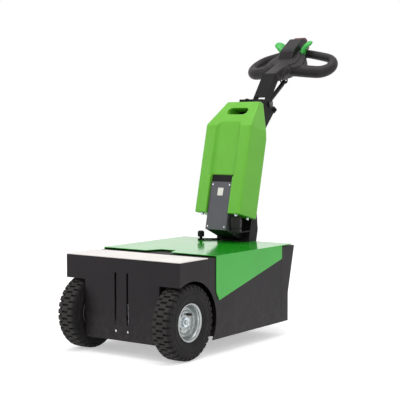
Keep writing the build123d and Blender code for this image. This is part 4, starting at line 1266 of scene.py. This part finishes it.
@dataclass
class Fittings:
    """Small turned fittings and every visible fastener."""

    kit: Kit
    studs: StudField
    array: RoundArray

    def build(self) -> None:
        """Make the horn, the knob and the fasteners."""
        self.horn()
        self.knob()
        self.fasteners()
        self.label()

    def upright(self, profile: Sequence[Point], steps: int) -> bpy.types.Mesh:
        """Turned piece that stands along Z."""
        mesh = revolved(profile, steps)
        mesh.transform(Matrix.Rotation(math.radians(90), 4, "X"))
        return mesh

    def horn(self) -> None:
        """Round signal horn with a ribbed mouth."""
        low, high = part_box("signal_horn")
        radius = (high[0] - low[0]) / 2 - 0.0002
        height = high[2] - low[2]
        profile = [(0, 0.0), (radius - 0.003, 0.0), (radius - 0.001, 0.002), (radius - 0.001, 0.012),
                   (radius - 0.003, 0.0135), (radius - 0.003, 0.0165), (radius, 0.018),
                   (radius, height - 0.010),
                   (radius - 0.002, height - 0.008), (radius - 0.002, height - 0.003),
                   (radius - 0.005, height - 0.0005), (0.014, height - 0.0005), (0.0125, height - 0.004),
                   (0.008, height - 0.004), (0.0065, height - 0.001), (0, height - 0.001)]
        mesh = self.upright(profile, 56)
        place = Vector(((low[0] + high[0]) / 2, (low[1] + high[1]) / 2, low[2]))
        mesh.transform(Matrix.Translation(place))
        self.kit.add("horn_body", mesh, "pod", Body.CHASSIS.value, ("signal_horn",), 34.0)

    def knob(self) -> None:
        """Round turned knob cap on its post, over the release knob's own node with its flat arm."""
        low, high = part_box("release_knob")
        centre = Vector((high[0] - 0.013, low[1] + 0.013, 0.357))
        cap = [(0, 0.0), (0.0085, 0.0), (0.0105, 0.0015), (0.0118, 0.006), (0.0126, 0.012), (0.0122, 0.018),
               (0.0100, 0.0216), (0.0060, 0.0228), (0, 0.0229)]
        post = [(0, -0.016), (0.0105, -0.016), (0.0115, -0.0145), (0.0085, -0.0125), (0.0058, -0.012),
                (0.0056, -0.001), (0.0074, 0.0), (0.0074, 0.001), (0, 0.001)]
        mesh = joined([self.upright(part, 48) for part in (cap, post)])
        mesh.transform(Matrix.Translation(centre))
        self.kit.dress("release_knob", "inner")
        self.kit.add("knob_cap", mesh, "pod", Body.CHASSIS.value, (), 34.0)

    def heads(self, name: str, spots: Sequence[tuple[Vector, Vector]], finish: str, body: str,
              **sizes: float) -> None:
        """Fastener heads of one kind on one body.

        Args:
            name: the piece's name.
            spots: place and facing of each head.
            finish: key of the finish.
            body: the body they ride on.
            **sizes: the tree's inputs, with spaces written as underscores.
        """
        values: dict[str, object] = {}
        for key, value in sizes.items():
            values[key.replace("_", " ").capitalize()] = value
        values["Material"] = self.kit.finishes[finish]
        mesh = self.studs.run(dotted(spots), values)
        self.kit.add(name, mesh, finish, body, (), 30.0)

    def fasteners(self) -> None:
        """Hood screws, pivot bolts, base bolts, cover screws and the battery's foot latches."""
        chassis = Body.CHASSIS.value
        left = Vector((0, 1, 0))
        face = 0.24965
        hood = []
        for side in SIDES.values():
            for back, z in ((0.2284, 0.2050), (0.2284, 0.3180), (0.6164, 0.3180), (0.4264, 0.3180)):
                hood.append((Vector((FACE - back, side * face, z)), left * side))
        self.heads("hood_screws", hood, "hood", chassis, sides=18, head_radius=0.0038, head_height=0.0009,
                   washer_radius=0.0046, washer_height=0.0003)
        pivot = [(Vector((FACE - 0.856, side * 0.0600, 0.871)), left * side) for side in SIDES.values()]
        self.heads("pivot_bolts", pivot, "cast", chassis, sides=6, head_radius=0.0080, head_height=0.0046,
                   washer_radius=0.0112, washer_height=0.0014)
        spring = [(Vector((FACE - 0.888, side * 0.0600, 0.850)), left * side) for side in SIDES.values()]
        self.heads("spring_foot_bolts", spring, "inner", chassis, sides=6, head_radius=0.0062,
                   head_height=0.0034, washer_radius=0.0084, washer_height=0.0010)
        cover = [(MAST.at(x, up, -0.0089), MAST.z) for x in (-0.038, 0.038) for up in (-0.052, 0.110)]
        self.heads("cover_screws", cover, "rod", chassis, sides=16, head_radius=0.0026, head_height=0.0008,
                   washer_radius=0.0032, washer_height=0.0003)
        under = [(MAST.at(side * 0.077, -0.0006, -deep), -MAST.y) for side in SIDES.values()
                 for deep in (0.018, 0.100)]
        self.heads("battery_feet", under, "zinc", chassis, sides=6, head_radius=0.0058, head_height=0.0050,
                   washer_radius=0.0085, washer_height=0.0016)

    def label(self) -> None:
        """Blank pale plate on the controller cover."""
        outline = [(-0.0125, 0.068), (0.0125, 0.068), (0.0125, 0.098), (-0.0125, 0.098)]
        plate = prism(outline, -0.0090, -0.0083)
        shaped = evaluated(plate, bevelled(0.0003))
        shaped.transform(MAST.matrix())
        self.kit.add("blank_plate", shaped, "light", Body.CHASSIS.value, (), 0.0)


@dataclass
class Studio:
    """White floor, soft light and the camera of the photograph."""

    camera_place: Colour = (FACE + 2.902, 2.409, 0.777)
    camera_yaw: float = 215.63
    camera_pitch: float = -3.68
    focal_pixels: float = 1115.66
    picture: float = 400.0
    sensor: float = 36.0
    floor_half: float = 14.0

    def build(self) -> None:
        """Make the camera, the floor, the lamps and the world."""
        self.camera()
        self.floor()
        self.lamps()
        self.world()
        bpy.context.scene.view_settings.view_transform = "Standard"

    def camera(self) -> None:
        """Camera at the photograph's place."""
        data = bpy.data.cameras.new("camera")
        data.sensor_width = self.sensor
        data.lens = self.focal_pixels / self.picture * self.sensor
        data.clip_end = 60.0
        eye = bpy.data.objects.new("camera", data)
        bpy.context.scene.collection.objects.link(eye)
        eye.location = self.camera_place
        yaw, pitch = math.radians(self.camera_yaw), math.radians(self.camera_pitch)
        way = Vector((math.cos(pitch) * math.cos(yaw), math.cos(pitch) * math.sin(yaw), math.sin(pitch)))
        eye.rotation_euler = way.to_track_quat("-Z", "Y").to_euler()
        bpy.context.scene.camera = eye

    def floor(self) -> None:
        """Pale floor that reads as white and keeps the soft shadow."""
        half = self.floor_half
        mesh = bpy.data.meshes.new("floor")
        mesh.from_pydata([(-half, -half, 0), (half, -half, 0), (half, half, 0), (-half, half, 0)], [],
                         [(0, 1, 2, 3)])
        ground = bpy.data.objects.new("floor", mesh)
        bpy.context.scene.collection.objects.link(ground)
        shade = Shade("floor_white")
        shade.set(Base_Color=(0.86, 0.86, 0.86), Roughness=0.9, Specular_IOR_Level=0.2)
        path = shade.node("ShaderNodeLightPath", {}, {})
        seen = Term(shade, path.outputs["Is Camera Ray"]) + Term(shade, path.outputs["Is Glossy Ray"])
        seen = seen + Term(shade, path.outputs["Is Transmission Ray"])
        glow = shade.node("ShaderNodeEmission", {}, {"Color": (1.0, 1.0, 1.0), "Strength": seen * 0.45})
        both = shade.node("ShaderNodeAddShader", {}, {0: shade.surface.outputs[0], 1: glow.outputs[0]})
        output = next(node for node in shade.tree.nodes if node.type == "OUTPUT_MATERIAL")
        shade.tree.links.new(both.outputs[0], output.inputs["Surface"])
        mesh.materials.append(shade.material)

    def lamps(self) -> None:
        """Large soft lamps: overhead, camera left and a low fill on the right."""
        # Each lamp: name, place, what it faces, size, power
        boxes = (
            ("overhead", (0.4, 0.3, 3.6), (0.0, 0.0, 0.4), 3.2, 62.0),
            ("front_left", (3.0, 3.2, 2.4), (0.0, 0.0, 0.5), 2.2, 26.0),
            ("right_fill", (2.6, -2.6, 1.9), (0.0, 0.0, 0.5), 2.0, 16.0),
        )
        for name, place, target, size, power in boxes:
            data = bpy.data.lights.new(name, "AREA")
            data.shape = "DISK"
            data.size = size
            data.energy = power
            lamp = bpy.data.objects.new(name, data)
            bpy.context.scene.collection.objects.link(lamp)
            lamp.location = place
            lamp.rotation_euler = (Vector(target) - Vector(place)).to_track_quat("-Z", "Y").to_euler()

    def world(self) -> None:
        """Even white surroundings: full white where they are seen, softer as light."""
        world = bpy.data.worlds.new("studio")
        bpy.context.scene.world = world
        world.use_nodes = True
        tree = world.node_tree
        tree.nodes.clear()
        path = tree.nodes.new("ShaderNodeLightPath")
        seen = tree.nodes.new("ShaderNodeMath")
        seen.operation = "MAXIMUM"
        tree.links.new(path.outputs["Is Camera Ray"], seen.inputs[0])
        tree.links.new(path.outputs["Is Glossy Ray"], seen.inputs[1])
        through = tree.nodes.new("ShaderNodeMath")
        through.operation = "MAXIMUM"
        tree.links.new(seen.outputs[0], through.inputs[0])
        tree.links.new(path.outputs["Is Transmission Ray"], through.inputs[1])
        strength = tree.nodes.new("ShaderNodeMapRange")
        strength.inputs["To Min"].default_value = 0.62
        strength.inputs["To Max"].default_value = 1.0
        tree.links.new(through.outputs[0], strength.inputs["Value"])
        glow = tree.nodes.new("ShaderNodeBackground")
        glow.inputs["Color"].default_value = (1.0, 1.0, 1.0, 1.0)
        tree.links.new(strength.outputs["Result"], glow.inputs["Strength"])
        output = tree.nodes.new("ShaderNodeOutputWorld")
        tree.links.new(glow.outputs[0], output.inputs["Surface"])


def clear_scene() -> None:
    """Remove what the start-up file holds."""
    for item in list(bpy.data.objects):
        bpy.data.objects.remove(item)


def tidy_helpers() -> None:
    """Remove the cutting shapes, which have done their work."""
    for item in list(bpy.data.objects):
        if item.name.startswith("cutter"):
            bpy.data.objects.remove(item)


def main() -> None:
    """Build the machine's looks in order."""
    logging.basicConfig(level=logging.INFO, format="%(name)s: %(message)s")
    clear_scene()
    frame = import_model()
    Studio().build()
    kit = Kit(frame)
    array = RoundArray()
    studs = StudField()
    Sheetwork(kit).build()
    for side_name in SIDES:
        DriveWheel(kit, array, side_name).build()
    Battery(kit).build()
    Handle(kit).build()
    Fittings(kit, studs, array).build()
    tidy_helpers()


if __name__ == "__main__":
    main()
